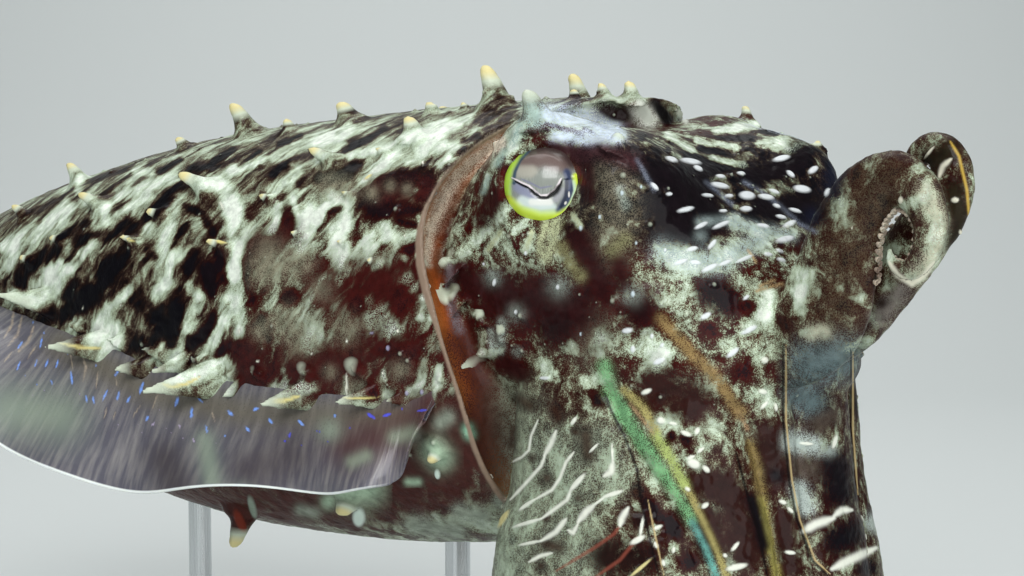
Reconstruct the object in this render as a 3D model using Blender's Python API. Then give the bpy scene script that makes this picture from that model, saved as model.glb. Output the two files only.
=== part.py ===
"""Broadclub cuttlefish (Sepia latimanus), a still life-size display model on its stand.

The animal swims along +X, with its right side towards -Y and +Z up. The origin is the centre
of the stand base's underside. The body frame lies on the mantle's long axis, and the head frame
hangs from the neck and is turned a little towards the animal's right. All sizes are in metres,
and the tables below are in millimetres, as their names say.
"""
from math import atan2, cos, pi, radians, sin, sqrt

import bmesh
import bpy
import numpy as np
from mathutils import Matrix, Vector

MM = 0.001
GAP = 0.00036            # clearance cut between neighbours, about 0.3 mm on the facets

# Stand
AXIS_HEIGHT = 0.205      # mantle axis above the floor
BASE_LENGTH = 0.300
BASE_WIDTH = 0.150
BASE_THICKNESS = 0.012
BASE_EDGE = 0.002
BASE_CORNER = 0.022
BASE_CORNER_SIDES = 6
ROD_RADIUS = 0.005
ROD_X = {"front": 0.062, "rear": -0.088}
ROD_SIDES = 20
ROD_TOP = 0.060          # how far below the mantle's axis a rod's blank ends, inside the belly

# Mantle: stations from the tail to the rim, in the body frame
MANTLE_STATIONS_MM = (   # x, half width, height above the axis, depth below it
    (-265, 0, 0, 0),
    (-262, 12, 7, 9),
    (-249, 27, 16, 21),
    (-218, 46, 27, 40),
    (-172, 64, 40, 62),
    (-128, 75, 52, 80),
    (-53, 84, 68, 94),
    (25, 86, 76, 94),
    (80, 83, 80, 87),
    (105, 80, 80, 80),
)
MANTLE_RINGS = 18
MANTLE_SIDES = 26
MANTLE_SQUARENESS = 2.15
MANTLE_FIRST = 0.02      # where the first ring lies, so that the tail ends blunt
RIM_X = 0.105            # the rim where it lies furthest back, beside the eyes
DORSAL_LIP = 0.045       # how far the rim runs forward over the nape
DORSAL_LIP_REACH = 0.62  # in radians round the mantle
LIP_LEAN = radians(-9)   # that lip's crest lies a little to the animal's left
VENTRAL_LIP = 0.023      # and along the flanks and the belly
VENTRAL_LIP_FROM = radians(58)
VENTRAL_LIP_TO = radians(112)
COLLAR_STEPS_MM = (      # forward of the rim, inward of its outline
    (2.0, 2.0),
    (3.0, 5.0),
    (2.5, 12.0),
    (-1.0, 17.0),
    (-13.0, 19.5),
)
COLLAR_FLOOR_X = 0.082
COLLAR_FLOOR_INSET = 0.023

# Fins: where the membrane leaves the mantle, how wide it is and how steeply it hangs
FIN_STATIONS_MM = (      # x, height of the root, width, droop in degrees
    (118, -22, 9, 60),
    (109, -24, 27, 64),
    (90, -26, 34, 66),
    (50, -28, 34, 66),
    (-7, -27, 44, 62),
    (-50, -20, 50, 58),
    (-86, -14, 50, 38),
    (-125, -8, 47, 18),
    (-185, -2, 42, 20),
    (-236, 1, 30, 14),
    (-263, 1, 4, 6),
)
FIN_COLUMNS = 30
FIN_ROOT_THICKNESS = 0.0046
FIN_THICKNESS = 0.0016
FIN_MARGIN_THICKNESS = 0.0008
FIN_SHARES = (-0.06, 0.16, 0.58, 1.0)    # rows of points across the membrane, the first one in the flank
FIN_SUNK = 0.004
FIN_WAVE = 0.0035        # ripple of the free margin
FIN_WAVES = 6.5
FIN_WAVE_PHASE = {-1: 0.4, 1: 1.3}
FIN_FULL_WAVE = 0.030    # width from which the ripple has its full height
FIN_STEP = 0.002         # for reading the run of the root

# Head: stations from the nape to the crown of the arms, in the head frame
NECK = (0.110, 0.0, 0.0)
HEAD_YAW = radians(-10)
HEAD_STATIONS_MM = (     # x, half width, height of the widest line, top, bottom
    (-34, 47, 4, 50, -42),
    (-6, 50, 8, 57, -42),
    (4, 55, 16, 63, -41),
    (14, 60, 19, 66, -39),
    (32, 60, 18, 69, -34),
    (52, 59, 15, 69, -30),
    (67, 59, 10, 67, -28),
    (85, 57, 4, 55, -27),
    (100, 52, -2, 39, -26),
    (111, 41, -4, 27, -24),
    (118, 25, -5, 11, -18),
    (121, 0, -5, -5, -5),
)
HEAD_RINGS = 19
HEAD_SIDES = 26
HEAD_LAST = 0.985        # where the last ring lies, so that the crown ends blunt
HEAD_SQUARENESS = 2.5
JAW_SQUARENESS = 3.4

# Eyes and what surrounds them, in the head frame, for the right side (the left is mirrored)
EYE_CENTRE = (0.0514, -0.0506, 0.0484)
EYE_RADIUS = 0.0156
EYE_TURN = radians(27)   # the optic axis is turned forward from straight sideways
EYE_LIFT = radians(5)
EYE_ROWS = 10
EYE_SIDES = 18
EYE_POLE = 0.004         # share of the turn left open at each pole
IRIS_FLAP_HEIGHT = 0.0007
IRIS_FLAP_REACH = pi / 2.6
IRIS_FLAP_EDGE = (0.28, 0.12)    # its lower edge, a V: slope and drop at the middle
LID_RADIUS = 0.0129
LID_THICKNESS = 0.0021
LID_SIDES = 14
LID_ROUND = 4            # points round the ridge
LID_LIFT = 0.06          # how much wider the ridge is above than below
SWELLINGS = (            # centre in the head frame, reach, height (right side)
    ((0.052, -0.056, 0.042), 0.020, 0.0060),
    ((0.047, -0.045, 0.057), 0.018, 0.0125),
    ((0.081, -0.047, 0.052), 0.021, 0.0165),
    ((0.014, -0.058, 0.020), 0.014, 0.0030),
    ((0.066, 0.0, 0.070), 0.022, -0.0020),
)
ORBIT_REACH = 0.0150     # round the optic axis the head is pressed down to the lid's plane
ORBIT_FADE = 0.0035

# Arms that hang in a curtain below the head
CROWN_CENTRE_X = 0.066
CROWN_LENGTH = 0.053     # half, fore and aft
CROWN_WIDTH = 0.0595     # half, side to side
CROWN_SQUARENESS = 2.5
ARM_LEVELS_MM = (14, 4, -20, -52, -76, -105, -135, -160, -173)
ARM_FLARE_MM = (-9, -3, 0, 3, 8, 12, 13, 11, 8)
ARM_THICKNESS_MM = (10, 10, 10, 9.5, 8.5, 7, 5, 3, 1.2)
ARM_SPANS_MM = {         # from, to along the crown's outline, measured from its front
    "arm_2_right": ((24, 54), (22, 54), (4, 27), (2.5, 17), (2, 15), (4, 15), (6, 14), (8, 12), (9.4, 10.6)),
    "arm_3_right": ((56, 86), (56, 86), (29, 71), (19, 51), (17, 39), (18, 35), (20, 31), (21, 26), (22, 24)),
    "arm_4_right": ((88, 130), (88, 134), (73, 134), (53, 131), (41, 134), (44, 120), (52, 98), (60, 78), (66, 70)),
    "arm_2_left": ((24, 54), (22, 54), (-1, 37), (-0.5, 36), (0, 34), (2, 28), (5, 22), (8, 16), (11, 13)),
    "arm_3_left": ((56, 86), (56, 86), (39, 74), (38, 68), (36, 61), (34, 54), (34, 48), (35, 42), (37, 39)),
    "arm_4_left": ((88, 130), (88, 134), (76, 134), (70, 131), (63, 132), (60, 115), (62, 98), (66, 82), (71, 75)),
}
ARM_SIDES = 10
ARM_RINGS = 12
ARM_SPLIT_Z = -0.078     # where a hanging arm is divided into its two lengths
ARM_STEP = 0.010         # for reading which way is inward

# The first pair of arms, raised and curled, in the head frame
RAISED_ARMS_MM = {       # x, y, z, half width in the curl's plane, half thickness across it
    "arm_1_right": (
        (98, -9, -3, 14, 7), (116, -10, -1, 16, 7.5), (132, -11, 7, 17, 7.5), (139, -11, 21, 15.5, 7),
        (143.5, -11, 36, 12.5, 6.5), (150.5, -11, 47, 10.5, 6), (161, -11.5, 52, 9, 5.5),
        (170.5, -12, 48.5, 7.5, 5), (175, -12, 40, 6, 4.2), (173.5, -12, 31, 4.6, 3.4),
        (168, -12, 25, 3.2, 2.6), (162, -12, 26.5, 2.0, 1.8), (160.5, -12, 31, 0.7, 0.7),
    ),
    "arm_1_left": (
        (98, 9, -3, 13, 6.5), (113, 10, 0, 13.5, 7), (128, 11, 6, 12, 7), (142, 12, 19, 10.5, 6.5),
        (154.5, 12, 33, 10, 6), (163.5, 12, 45, 9, 5.5), (165.5, 12, 56, 7, 4.8),
        (159, 12, 62, 5, 4), (152.5, 12, 58.5, 3.6, 3), (151, 12, 51.5, 2.4, 2.2),
        (154.5, 12, 47, 0.8, 0.8),
    ),
}
CURL_SIDE = {"arm_1_right": -1, "arm_1_left": 1}     # the right arm curls forward, the left one back
RAISED_SIDES = 9
RAISED_RINGS = 27
RAISED_SPLITS = (0.42, 0.70)

# Funnel, below the neck
FUNNEL_PATH_MM = (       # x, z, half width, half height, in the body frame
    (84, -54, 22, 8),
    (112, -57, 20, 11),
    (134, -64, 15, 12),
    (152, -75, 11, 10.5),
    (164, -88, 9, 8.5),
)
FUNNEL_BORE = 0.0058
FUNNEL_BORE_DEPTH = 0.014
FUNNEL_SIDES = 12
FUNNEL_RINGS = 7
FUNNEL_STEP = 0.02       # for reading the run of its path

# Papillae of the mantle: place, angle from the top towards the right, height, lean to the rear
MANTLE_PAPILLAE = (      # x in mm, degrees, mm, degrees, right side as photographed
    (101, 16, 12, 0), (46, 30, 10, 25), (86, 35, 6, 20), (-6, 32, 10, 20), (53, 44, 5, 60),
    (-3, 55, 10, 62), (-56, 49, 11, 20), (-100, 42, 9, 20), (-126, 58, 7, 20), (-66, 60, 8, 62),
    (-33, 71, 5, 55), (18, 71, 5, 50), (136, 3, 7, 5), (-162, 40, 7, 25), (-205, 45, 5, 25),
    (-140, 22, 8, 15), (-70, 14, 9, 12),
)
FLANK_FLAPS_MM = (-228, -194, -160, -130, -100, -60, -38, 8, 50, 83)
FLAP_SIZE_MM = (13, 3.2, 8)      # length, half thickness, half width at the root
FLAP_PROFILE = ((-0.35, 1.1), (0.45, 0.62), (0.98, 0.12))    # place along a flap, width there
FLAP_SIDES = 6
FLAP_WIDTH_SHARE = 0.6
FLAP_OUT = (1.0, 0.25)   # how a flap leaves the flank, sideways and up
FLAP_BACK = (-0.78, 0, 0.05)
FLAP_OUT_SHARE = 0.62
FLAP_TAIL_SHARE = 0.55   # size of the flaps at the tail, growing to full size over FLAP_GROWTH_MM
FLAP_GROWTH_MM = 120
FLAP_ABOVE_FIN = 0.0085
BELLY_PAPILLAE = ((66, 136, 8, 20), (-30, 158, 6, 10), (-95, 150, 7, 15))
PAPILLA_SIDES = 5
PAPILLA_GIRTH = 0.46     # root radius over height
PAPILLA_PROFILE = ((-0.35, 1.05), (0.50, 0.70), (0.97, 0.30))    # place along it, width there
PAPILLA_CHANCE = (7, 0.09, 0.15)     # on the left side: shift in mm and in radians, change of height
PAPILLA_SEED = 11

# Papillae of the head, right side, in the head frame: root, height, direction
HEAD_PAPILLAE_MM = (
    ((48, -52, 66), 11, (0.0, -0.25, 1.0), 0.55),
    ((72, -40, 62), 5, (0.2, -0.3, 1.0), 0.55),
    ((84, -53, 56), 7, (0.5, -0.4, 1.0), 0.36),
    ((10, -61, 22), 6, (-0.75, -0.75, 0.1), 0.55),
    ((14.5, -61, 10.5), 4, (-0.6, -0.85, 0.0), 0.50),
    ((25, -58, 2), 5, (-0.4, -0.9, -0.3), 0.40),
    ((33, -57, -3), 5, (-0.3, -0.9, -0.4), 0.40),
)

# Suckers, in two rows down the inner face of each arm
SUCKER_RADIUS = 0.0024
SUCKER_HEIGHT = 0.0022
SUCKER_SIDES = 5
SUCKER_PROFILE = ((-0.9, 0.66), (1.0, 1.0))  # place along its height, width there
SUCKERS_A_ROW = {"base": 2, "mid": 3, "tip": 3}
HANGING_SUCKERS_Z = {"base": (-0.036, ARM_SPLIT_Z + 0.005), "tip": (ARM_SPLIT_Z - 0.006, -0.161)}
HANGING_SUCKER_SIZE = (0.30, 0.011)  # size is the first plus the arm's thickness over the second, up to 1
HANGING_ROW_SPREAD = (0.0036, 0.42)  # half the distance of the rows, and its limit as a share of the arm
RAISED_SUCKERS_FROM = 0.27
RAISED_SUCKERS_START = 0.03          # left free at the start of each length
RAISED_SUCKERS_END = 0.05            # and at its end
RAISED_SUCKER_SIZE = (0.15, 0.012)
RAISED_ROW_OFFSET = 0.45


def wipe_scene():
    """Remove whatever the file opened with."""
    for item in list(bpy.data.objects):
        bpy.data.objects.remove(item)


def linear(hex_colour):
    """An sRGB hex colour as a linear RGBA tuple."""
    parts = [int(hex_colour[i:i + 2], 16) / 255 for i in (1, 3, 5)]
    return tuple(c / 12.92 if c <= 0.04045 else ((c + 0.055) / 1.055) ** 2.4 for c in parts) + (1.0,)


def finish(name, hex_colour, roughness, metallic=0.0):
    """A Principled material of one colour."""
    material = bpy.data.materials.new(name)
    material.use_nodes = True
    shader = material.node_tree.nodes["Principled BSDF"]
    shader.inputs["Base Color"].default_value = linear(hex_colour)
    shader.inputs["Roughness"].default_value = roughness
    shader.inputs["Metallic"].default_value = metallic
    return material


def add_object(name, vertices, faces, material, parent=None):
    """A mesh object from points and faces, shaded smooth."""
    mesh = bpy.data.meshes.new(name)
    mesh.from_pydata([tuple(v) for v in vertices], [], [tuple(f) for f in faces])
    mesh.validate()
    mesh.shade_smooth()
    mesh.materials.append(material)
    item = bpy.data.objects.new(name, mesh)
    item.parent = parent
    bpy.context.scene.collection.objects.link(item)
    return item


def add_frame(name, location, yaw=0.0, parent=None):
    """An empty that carries a sub-assembly."""
    frame = bpy.data.objects.new(name, None)
    frame.location = location
    frame.rotation_euler = (0.0, 0.0, yaw)
    frame.parent = parent
    bpy.context.scene.collection.objects.link(frame)
    return frame


def smooth_rows(rows, t):
    """Catmull-Rom curve through the rows of a table, read at t from 0 to 1."""
    rows = np.asarray(rows, float)
    place = min(max(t, 0.0), 1.0) * (len(rows) - 1)
    i = min(int(place), len(rows) - 2)
    f = place - i
    p1, p2 = rows[i], rows[i + 1]
    p0 = rows[i - 1] if i else 2 * p1 - p2
    p3 = rows[i + 2] if i + 2 < len(rows) else 2 * p2 - p1
    return 0.5 * (2 * p1 + (p2 - p0) * f + (2 * p0 - 5 * p1 + 4 * p2 - p3) * f * f
                  + (3 * p1 - p0 - 3 * p2 + p3) * f ** 3)


def loft(rings):
    """Points and triangles of a closed body through rings of equal count."""
    count = len(rings[0])
    vertices = [Vector(p) for ring in rings for p in ring]
    faces = []
    for r in range(len(rings) - 1):
        for s in range(count):
            a, b = r * count + s, r * count + (s + 1) % count
            faces.append((a, b, b + count))
            faces.append((a, b + count, a + count))
    for r, flip in ((0, True), (len(rings) - 1, False)):
        centre = sum((Vector(p) for p in rings[r]), Vector()) / count
        vertices.append(centre)
        for s in range(count):
            a, b = r * count + s, r * count + (s + 1) % count
            faces.append((b, a, len(vertices) - 1) if flip else (a, b, len(vertices) - 1))
    return vertices, faces


def tidy_mesh(item):
    """Weld points that coincide and turn every face outward."""
    work = bmesh.new()
    work.from_mesh(item.data)
    bmesh.ops.remove_doubles(work, verts=work.verts, dist=1e-6)
    bmesh.ops.dissolve_degenerate(work, edges=work.edges, dist=1e-6)
    bmesh.ops.recalc_face_normals(work, faces=work.faces)
    work.to_mesh(item.data)
    work.free()
    return item


def lofted(name, rings, material, parent=None):
    """A closed body through rings, as an object."""
    return tidy_mesh(add_object(name, *loft(rings), material, parent))


def keep_largest(item):
    """Keep only the closed surface that holds the most."""
    work = bmesh.new()
    work.from_mesh(item.data)
    left = set(work.verts)
    islands = []
    while left:
        seed = left.pop()
        island, edge = {seed}, [seed]
        while edge:
            for link in edge.pop().link_edges:
                for vertex in link.verts:
                    if vertex in left:
                        left.remove(vertex)
                        island.add(vertex)
                        edge.append(vertex)
        islands.append(island)

    def extent(island):
        points = np.array([v.co for v in island])
        return float(np.prod(np.ptp(points, axis=0) + 1e-9))

    islands.sort(key=extent, reverse=True)
    spare = [v for island in islands[1:] for v in island]
    bmesh.ops.delete(work, geom=spare, context="VERTS")
    work.to_mesh(item.data)
    work.free()
    return item


def combine(item, others, operation, solver="EXACT"):
    """Join the others to item or cut them from it, apply that, and remove them.

    MANIFOLD joins the many small pieces, because EXACT loses some of those that touch each other.
    """
    group = bpy.data.collections.new("operands")
    bpy.context.scene.collection.children.link(group)
    for other in others:
        for home in list(other.users_collection):
            home.objects.unlink(other)
        group.objects.link(other)
    modifier = item.modifiers.new(operation, "BOOLEAN")
    modifier.operation = operation
    modifier.operand_type = "COLLECTION"
    modifier.collection = group
    modifier.solver = solver
    bpy.context.view_layer.update()
    graph = bpy.context.evaluated_depsgraph_get()
    result = bpy.data.meshes.new_from_object(item.evaluated_get(graph))
    item.modifiers.clear()
    item.data = result
    for other in others:
        bpy.data.objects.remove(other)
    bpy.data.collections.remove(group)
    tidy_mesh(item)
    keep_largest(item)
    item.data.shade_smooth()
    return item


def grown(item, margin=GAP):
    """A copy of item, its surface moved outward, to cut a neighbour with."""
    copy = item.copy()
    copy.data = item.data.copy()
    bpy.context.scene.collection.objects.link(copy)
    normals = [v.normal.copy() for v in copy.data.vertices]
    for vertex, normal in zip(copy.data.vertices, normals):
        vertex.co += normal * margin
    copy.display_type = "WIRE"
    copy.hide_render = True
    return copy


def box(item):
    """Lowest and highest corners of an object in the world."""
    bpy.context.view_layer.update()
    points = np.array([item.matrix_world @ v.co for v in item.data.vertices])
    return points.min(axis=0), points.max(axis=0)


def clear_of(item, *neighbours):
    """Cut item back so that a gap stays to each neighbour whose box it reaches."""
    for neighbour in neighbours:
        (low, high), (other_low, other_high) = box(item), box(neighbour)
        if np.all(low < other_high + GAP) and np.all(other_low < high + GAP):
            combine(item, [grown(neighbour)], "DIFFERENCE")
    return item


def oval(angle, half_width, top, bottom, squareness):
    """Across and up coordinates of a squarish oval, by the angle from its top."""
    s, c = sin(angle), cos(angle)
    power = 2.0 / squareness
    across = half_width * abs(s) ** power * (1 if s > 0 else -1)
    height = top if c > 0 else bottom
    return across, height * abs(c) ** power * (1 if c > 0 else -1)


def papilla(root, direction, height, girth, sides, material, parent):
    """A soft blunt cone on a surface, its root sunk in."""
    direction = direction.normalized()
    side = direction.orthogonal().normalized()
    other = direction.cross(side)
    rings = []
    for up, wide in PAPILLA_PROFILE:
        centre = root + direction * up * height
        rings.append([centre + (side * cos(2 * pi * s / sides) + other * sin(2 * pi * s / sides)) * wide
                      * girth * height for s in range(sides)])
    return lofted("papilla", rings, material, parent)


def bump(value, centre, reach):
    """A smooth hump of height 1 round a centre."""
    return np.exp(-((value - centre) / reach) ** 2)


# Mantle

def mantle_section(t):
    """x, half width, top and bottom of the mantle at t from the tail to the rim, in metres."""
    x, width, top, bottom = smooth_rows(MANTLE_STATIONS_MM, t) * MM
    return x, max(width, 0.0), max(top, 0.0), max(bottom, 0.0)


def rim_x(angle):
    """How far forward the rim lies at an angle from the top."""
    turn = atan2(sin(angle), cos(angle))
    share = (abs(turn) - VENTRAL_LIP_FROM) / (VENTRAL_LIP_TO - VENTRAL_LIP_FROM)
    share = min(max(share, 0.0), 1.0)
    ventral = VENTRAL_LIP * share * share * (3 - 2 * share)
    return RIM_X + DORSAL_LIP * bump(turn, LIP_LEAN, DORSAL_LIP_REACH) + ventral


def mantle_point(t, angle, inset=0.0):
    """A point of the mantle's surface; the angle runs from the top over the animal's right."""
    x, width, top, bottom = mantle_section(t)
    across, up = oval(angle, max(width - inset, 0.0), max(top - inset, 0.0), max(bottom - inset, 0.0),
                      MANTLE_SQUARENESS)
    tail, front = MANTLE_STATIONS_MM[0][0] * MM, MANTLE_STATIONS_MM[-1][0] * MM
    share = (x - tail) / (front - tail)
    return Vector((x + (rim_x(angle) - RIM_X) * share ** 3, -across, up))


def mantle_place(x, angle):
    """The point and outward normal of the mantle at a distance along it and an angle from the top."""
    low, high = 0.0, 1.0
    for _ in range(40):
        middle = (low + high) / 2
        low, high = (middle, high) if mantle_point(middle, angle).x < x else (low, middle)
    here = mantle_point(low, angle)
    along = mantle_point(low + 0.01, angle) - mantle_point(low - 0.01, angle)
    around = mantle_point(low, angle + 0.03) - mantle_point(low, angle - 0.03)
    normal = along.cross(around).normalized()
    return here, normal if normal.dot(Vector((0, here.y, here.z))) > 0 else -normal


def mantle_papillae(body, material):
    """The raised papillae of the back and belly, the same on both sides but for a little chance."""
    chance = np.random.default_rng(PAPILLA_SEED)
    pieces = []
    for side in (1, -1):
        for x, degrees, height, lean in MANTLE_PAPILLAE + BELLY_PAPILLAE:
            shift = chance.uniform(-1, 1, 3) * (0.0 if side == 1 else 1.0)
            place, normal = mantle_place((x + PAPILLA_CHANCE[0] * shift[0]) * MM,
                                         side * (radians(degrees) + PAPILLA_CHANCE[1] * shift[1]))
            size = height * MM * (1 + PAPILLA_CHANCE[2] * shift[2])
            direction = normal * cos(radians(lean)) + Vector((-1, 0, 0)) * sin(radians(lean))
            pieces.append(papilla(place, direction, size, PAPILLA_GIRTH, PAPILLA_SIDES, material, body))
        length, thin, wide = (value * MM for value in FLAP_SIZE_MM)
        for x in FLANK_FLAPS_MM:
            grown_share = min(1.0, (x - MANTLE_STATIONS_MM[0][0]) / FLAP_GROWTH_MM)
            share = FLAP_TAIL_SHARE + (1 - FLAP_TAIL_SHARE) * grown_share
            root_z = fin_height(x * MM) + FLAP_ABOVE_FIN * share
            y = -side * mantle_half_width(x * MM, root_z)
            root, out = Vector((x * MM, y, root_z)), Vector((0, -side * FLAP_OUT[0], FLAP_OUT[1])).normalized()
            tip = (Vector(FLAP_BACK) + out * FLAP_OUT_SHARE).normalized()
            up = tip.cross(out).normalized()
            across = tip.cross(up)
            rings = []
            for reach, scale in FLAP_PROFILE:
                centre = root + tip * reach * length * share
                turns = [2 * pi * s / FLAP_SIDES for s in range(FLAP_SIDES)]
                rings.append([centre + (across * wide * cos(turn) * FLAP_WIDTH_SHARE + up * thin * sin(turn))
                              * scale * share for turn in turns])
            pieces.append(lofted("flap", rings, material, body))
    return pieces


def build_mantle(body, material):
    """The mantle with its rim, collar and papillae, and the hollow that the neck goes into."""
    angles = [2 * pi * (s + 0.5) / MANTLE_SIDES for s in range(MANTLE_SIDES)]
    rings = []
    for r in range(MANTLE_RINGS + 1):
        t = MANTLE_FIRST + (1 - MANTLE_FIRST) * r / MANTLE_RINGS
        rings.append([mantle_point(t, a) for a in angles])
    for forward, inward in COLLAR_STEPS_MM:
        ring = [mantle_point(1.0, a, inward * MM) + Vector((forward * MM, 0, 0)) for a in angles]
        rings.append(ring)
    floor = [mantle_point(1.0, a, COLLAR_FLOOR_INSET) for a in angles]
    rings.append([Vector((COLLAR_FLOOR_X, p.y, p.z)) for p in floor])
    mantle = lofted("mantle", rings, material, body)
    return combine(mantle, mantle_papillae(body, material), "UNION", "MANIFOLD")


# Fins

def fin_root(t):
    """x, root height, width and droop of the fin at t from its front end to the tail."""
    x, z, width, droop = smooth_rows(FIN_STATIONS_MM, t)
    return x * MM, z * MM, width * MM, radians(droop)


def fin_height(x):
    """Height of the fin's root at a place along the mantle."""
    rows = FIN_STATIONS_MM[::-1]
    return float(np.interp(x / MM, [row[0] for row in rows], [row[1] for row in rows])) * MM


def mantle_half_width(x, z):
    """Half width of the mantle at a place along it and a height."""
    low, high = 0.0, 1.0
    for _ in range(40):
        middle = (low + high) / 2
        low, high = (middle, high) if mantle_section(middle)[0] < x else (low, middle)
    _, width, top, bottom = mantle_section(low)
    height = top if z > 0 else bottom
    share = min(abs(z) / max(height, 1e-6), 1.0)
    return width * (1 - share ** MANTLE_SQUARENESS) ** (1 / MANTLE_SQUARENESS)


def fin_columns(side):
    """Root, outward direction and width of the fin in each column."""
    columns = []
    for c in range(FIN_COLUMNS + 1):
        t = c / FIN_COLUMNS
        x, z, width, droop = fin_root(t)
        root = Vector((x, side * mantle_half_width(x, z), z))
        front = (MANTLE_STATIONS_MM[-1][0] * MM + 2 * FIN_STEP)
        ahead = Vector((x + FIN_STEP, side * mantle_half_width(min(x + FIN_STEP, front), z), z))
        along = (ahead - root).normalized()
        outward = Vector((along.y, -along.x, 0)) * (-side)
        if outward.y * side < 0:
            outward = -outward
        direction = outward * cos(droop) + Vector((0, 0, -sin(droop)))
        wave = FIN_WAVE * sin(2 * pi * FIN_WAVES * t + FIN_WAVE_PHASE[side])
        columns.append((root, direction, width, along, wave * min(1.0, width / FIN_FULL_WAVE)))
    return columns


def build_fin(name, side, mantle, body, material):
    """One fin, a thin membrane from the flank to its free margin, triangulated alike on both faces."""
    thick = (FIN_ROOT_THICKNESS, FIN_THICKNESS * 1.3, FIN_THICKNESS, FIN_MARGIN_THICKNESS)
    upper, lower = [], []
    for root, direction, width, along, wave in fin_columns(side):
        normal = direction.cross(along).normalized()
        if normal.z < 0:
            normal = -normal
        for share, thickness in zip(FIN_SHARES, thick):
            out = share * width if share >= 0 else -FIN_SUNK
            point = root + direction * out + normal * wave * max(share, 0.0) ** 1.5
            upper.append(point + normal * thickness / 2)
            lower.append(point - normal * thickness / 2)
    rows, columns = len(FIN_SHARES), FIN_COLUMNS + 1
    faces = []
    offset = len(upper)
    for c in range(columns - 1):
        for r in range(rows - 1):
            a, b = c * rows + r, c * rows + r + 1
            d, e = a + rows, b + rows
            faces += [(a, b, e), (a, e, d)]
            faces += [(offset + b, offset + a, offset + e), (offset + a, offset + d, offset + e)]
    border = [(c * rows, (c + 1) * rows) for c in range(columns - 1)]
    border += [((c + 1) * rows + rows - 1, c * rows + rows - 1) for c in range(columns - 1)]
    border += [(r + 1, r) for r in range(rows - 1)]
    last = (columns - 1) * rows
    border += [(last + r, last + r + 1) for r in range(rows - 1)]
    for a, b in border:
        faces += [(a, b, offset + b), (a, offset + b, offset + a)]
    fin = tidy_mesh(add_object(name, upper + lower, faces, material, body))
    return clear_of(fin, mantle)


# Head and eyes

def mirrored(point, side):
    """A point given for the animal's right side, taken to side (-1 right, 1 left)."""
    return Vector((point[0], abs(point[1]) * side, point[2]))


def eye_axis(side):
    """The way an eye looks, in the head frame."""
    return Vector((sin(EYE_TURN) * cos(EYE_LIFT), side * cos(EYE_TURN) * cos(EYE_LIFT), sin(EYE_LIFT)))


def press_orbit(form, side):
    """Press the head down round an eye, so that the eyeball stands clear of it."""
    axis, centre = eye_axis(side), mirrored(EYE_CENTRE, side)
    plane = sqrt(EYE_RADIUS ** 2 - LID_RADIUS ** 2)
    for vertex in form.data.vertices:
        offset = vertex.co - centre
        height = offset.dot(axis)
        away = (offset - axis * height).length
        share = 1.0 / (1.0 + np.exp((away - ORBIT_REACH) / ORBIT_FADE))
        if height > plane:
            vertex.co -= axis * (height - plane) * float(share)


def build_head_form(head, material):
    """The head's own form, from the nape to the crown of the arms, with its swellings."""
    rings = []
    for r in range(HEAD_RINGS + 1):
        t = HEAD_LAST * r / HEAD_RINGS
        x, width, line, top, bottom = smooth_rows(HEAD_STATIONS_MM, t) * MM
        ring = []
        for s in range(HEAD_SIDES):
            angle = 2 * pi * (s + 0.5) / HEAD_SIDES
            across, up = oval(angle, max(width, 0.001), max(top - line, 0.001), max(line - bottom, 0.001),
                              HEAD_SQUARENESS if cos(angle) > 0 else JAW_SQUARENESS)
            ring.append(Vector((x, -across, line + up)))
        rings.append(ring)
    form = lofted("head", rings, material, head)
    form.data.update()
    moves = []
    for vertex in form.data.vertices:
        lift = 0.0
        for centre, reach, height in SWELLINGS:
            for side in ((-1, 1) if centre[1] else (1,)):
                away = (vertex.co - mirrored(centre, side)).length
                lift += height * bump(away, 0.0, reach)
        moves.append(vertex.normal * lift)
    for vertex, move in zip(form.data.vertices, moves):
        vertex.co += move
    for side in (-1, 1):
        press_orbit(form, side)
    return form


def build_eye(name, side, head, material):
    """An eyeball, its upper half raised by the iris flap that leaves the W-shaped pupil below it."""
    axis = eye_axis(side)
    up = (Vector((0, 0, 1)) - axis * axis.z).normalized()
    across = axis.cross(up)
    slope, drop = IRIS_FLAP_EDGE
    rings = []
    for r in range(EYE_ROWS + 1):
        polar = pi * (EYE_POLE + (1 - 2 * EYE_POLE) * r / EYE_ROWS)
        ring = []
        for s in range(EYE_SIDES):
            turn = 2 * pi * s / EYE_SIDES
            a, b = sin(polar) * cos(turn), sin(polar) * sin(turn)
            raised = IRIS_FLAP_HEIGHT if polar < IRIS_FLAP_REACH and b > slope * abs(a) - drop else 0.0
            radius = EYE_RADIUS + raised
            ring.append((across * a + up * b + axis * cos(polar)) * radius + mirrored(EYE_CENTRE, side))
        rings.append(ring)
    return lofted(name, rings, material, head)


def lid(side, material, head):
    """The ridge round an eye."""
    axis = eye_axis(side)
    up = (Vector((0, 0, 1)) - axis * axis.z).normalized()
    across = axis.cross(up)
    depth = sqrt(EYE_RADIUS ** 2 - LID_RADIUS ** 2)
    centre = mirrored(EYE_CENTRE, side) + axis * depth
    vertices, faces = [], []
    for s in range(LID_SIDES):
        turn = 2 * pi * s / LID_SIDES
        spoke = across * cos(turn) + up * sin(turn)
        for k in range(LID_ROUND):
            roll = 2 * pi * k / LID_ROUND
            vertices.append(centre + spoke * (LID_RADIUS + LID_THICKNESS * cos(roll)) * (1 + LID_LIFT * sin(turn))
                            + axis * LID_THICKNESS * sin(roll))
    for s in range(LID_SIDES):
        here, following = s * LID_ROUND, (s + 1) % LID_SIDES * LID_ROUND
        for k in range(LID_ROUND):
            a, b = here + k, here + (k + 1) % LID_ROUND
            c, d = following + k, following + (k + 1) % LID_ROUND
            faces += [(a, b, d), (a, d, c)]
    return tidy_mesh(add_object("lid", vertices, faces, material, head))


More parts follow.
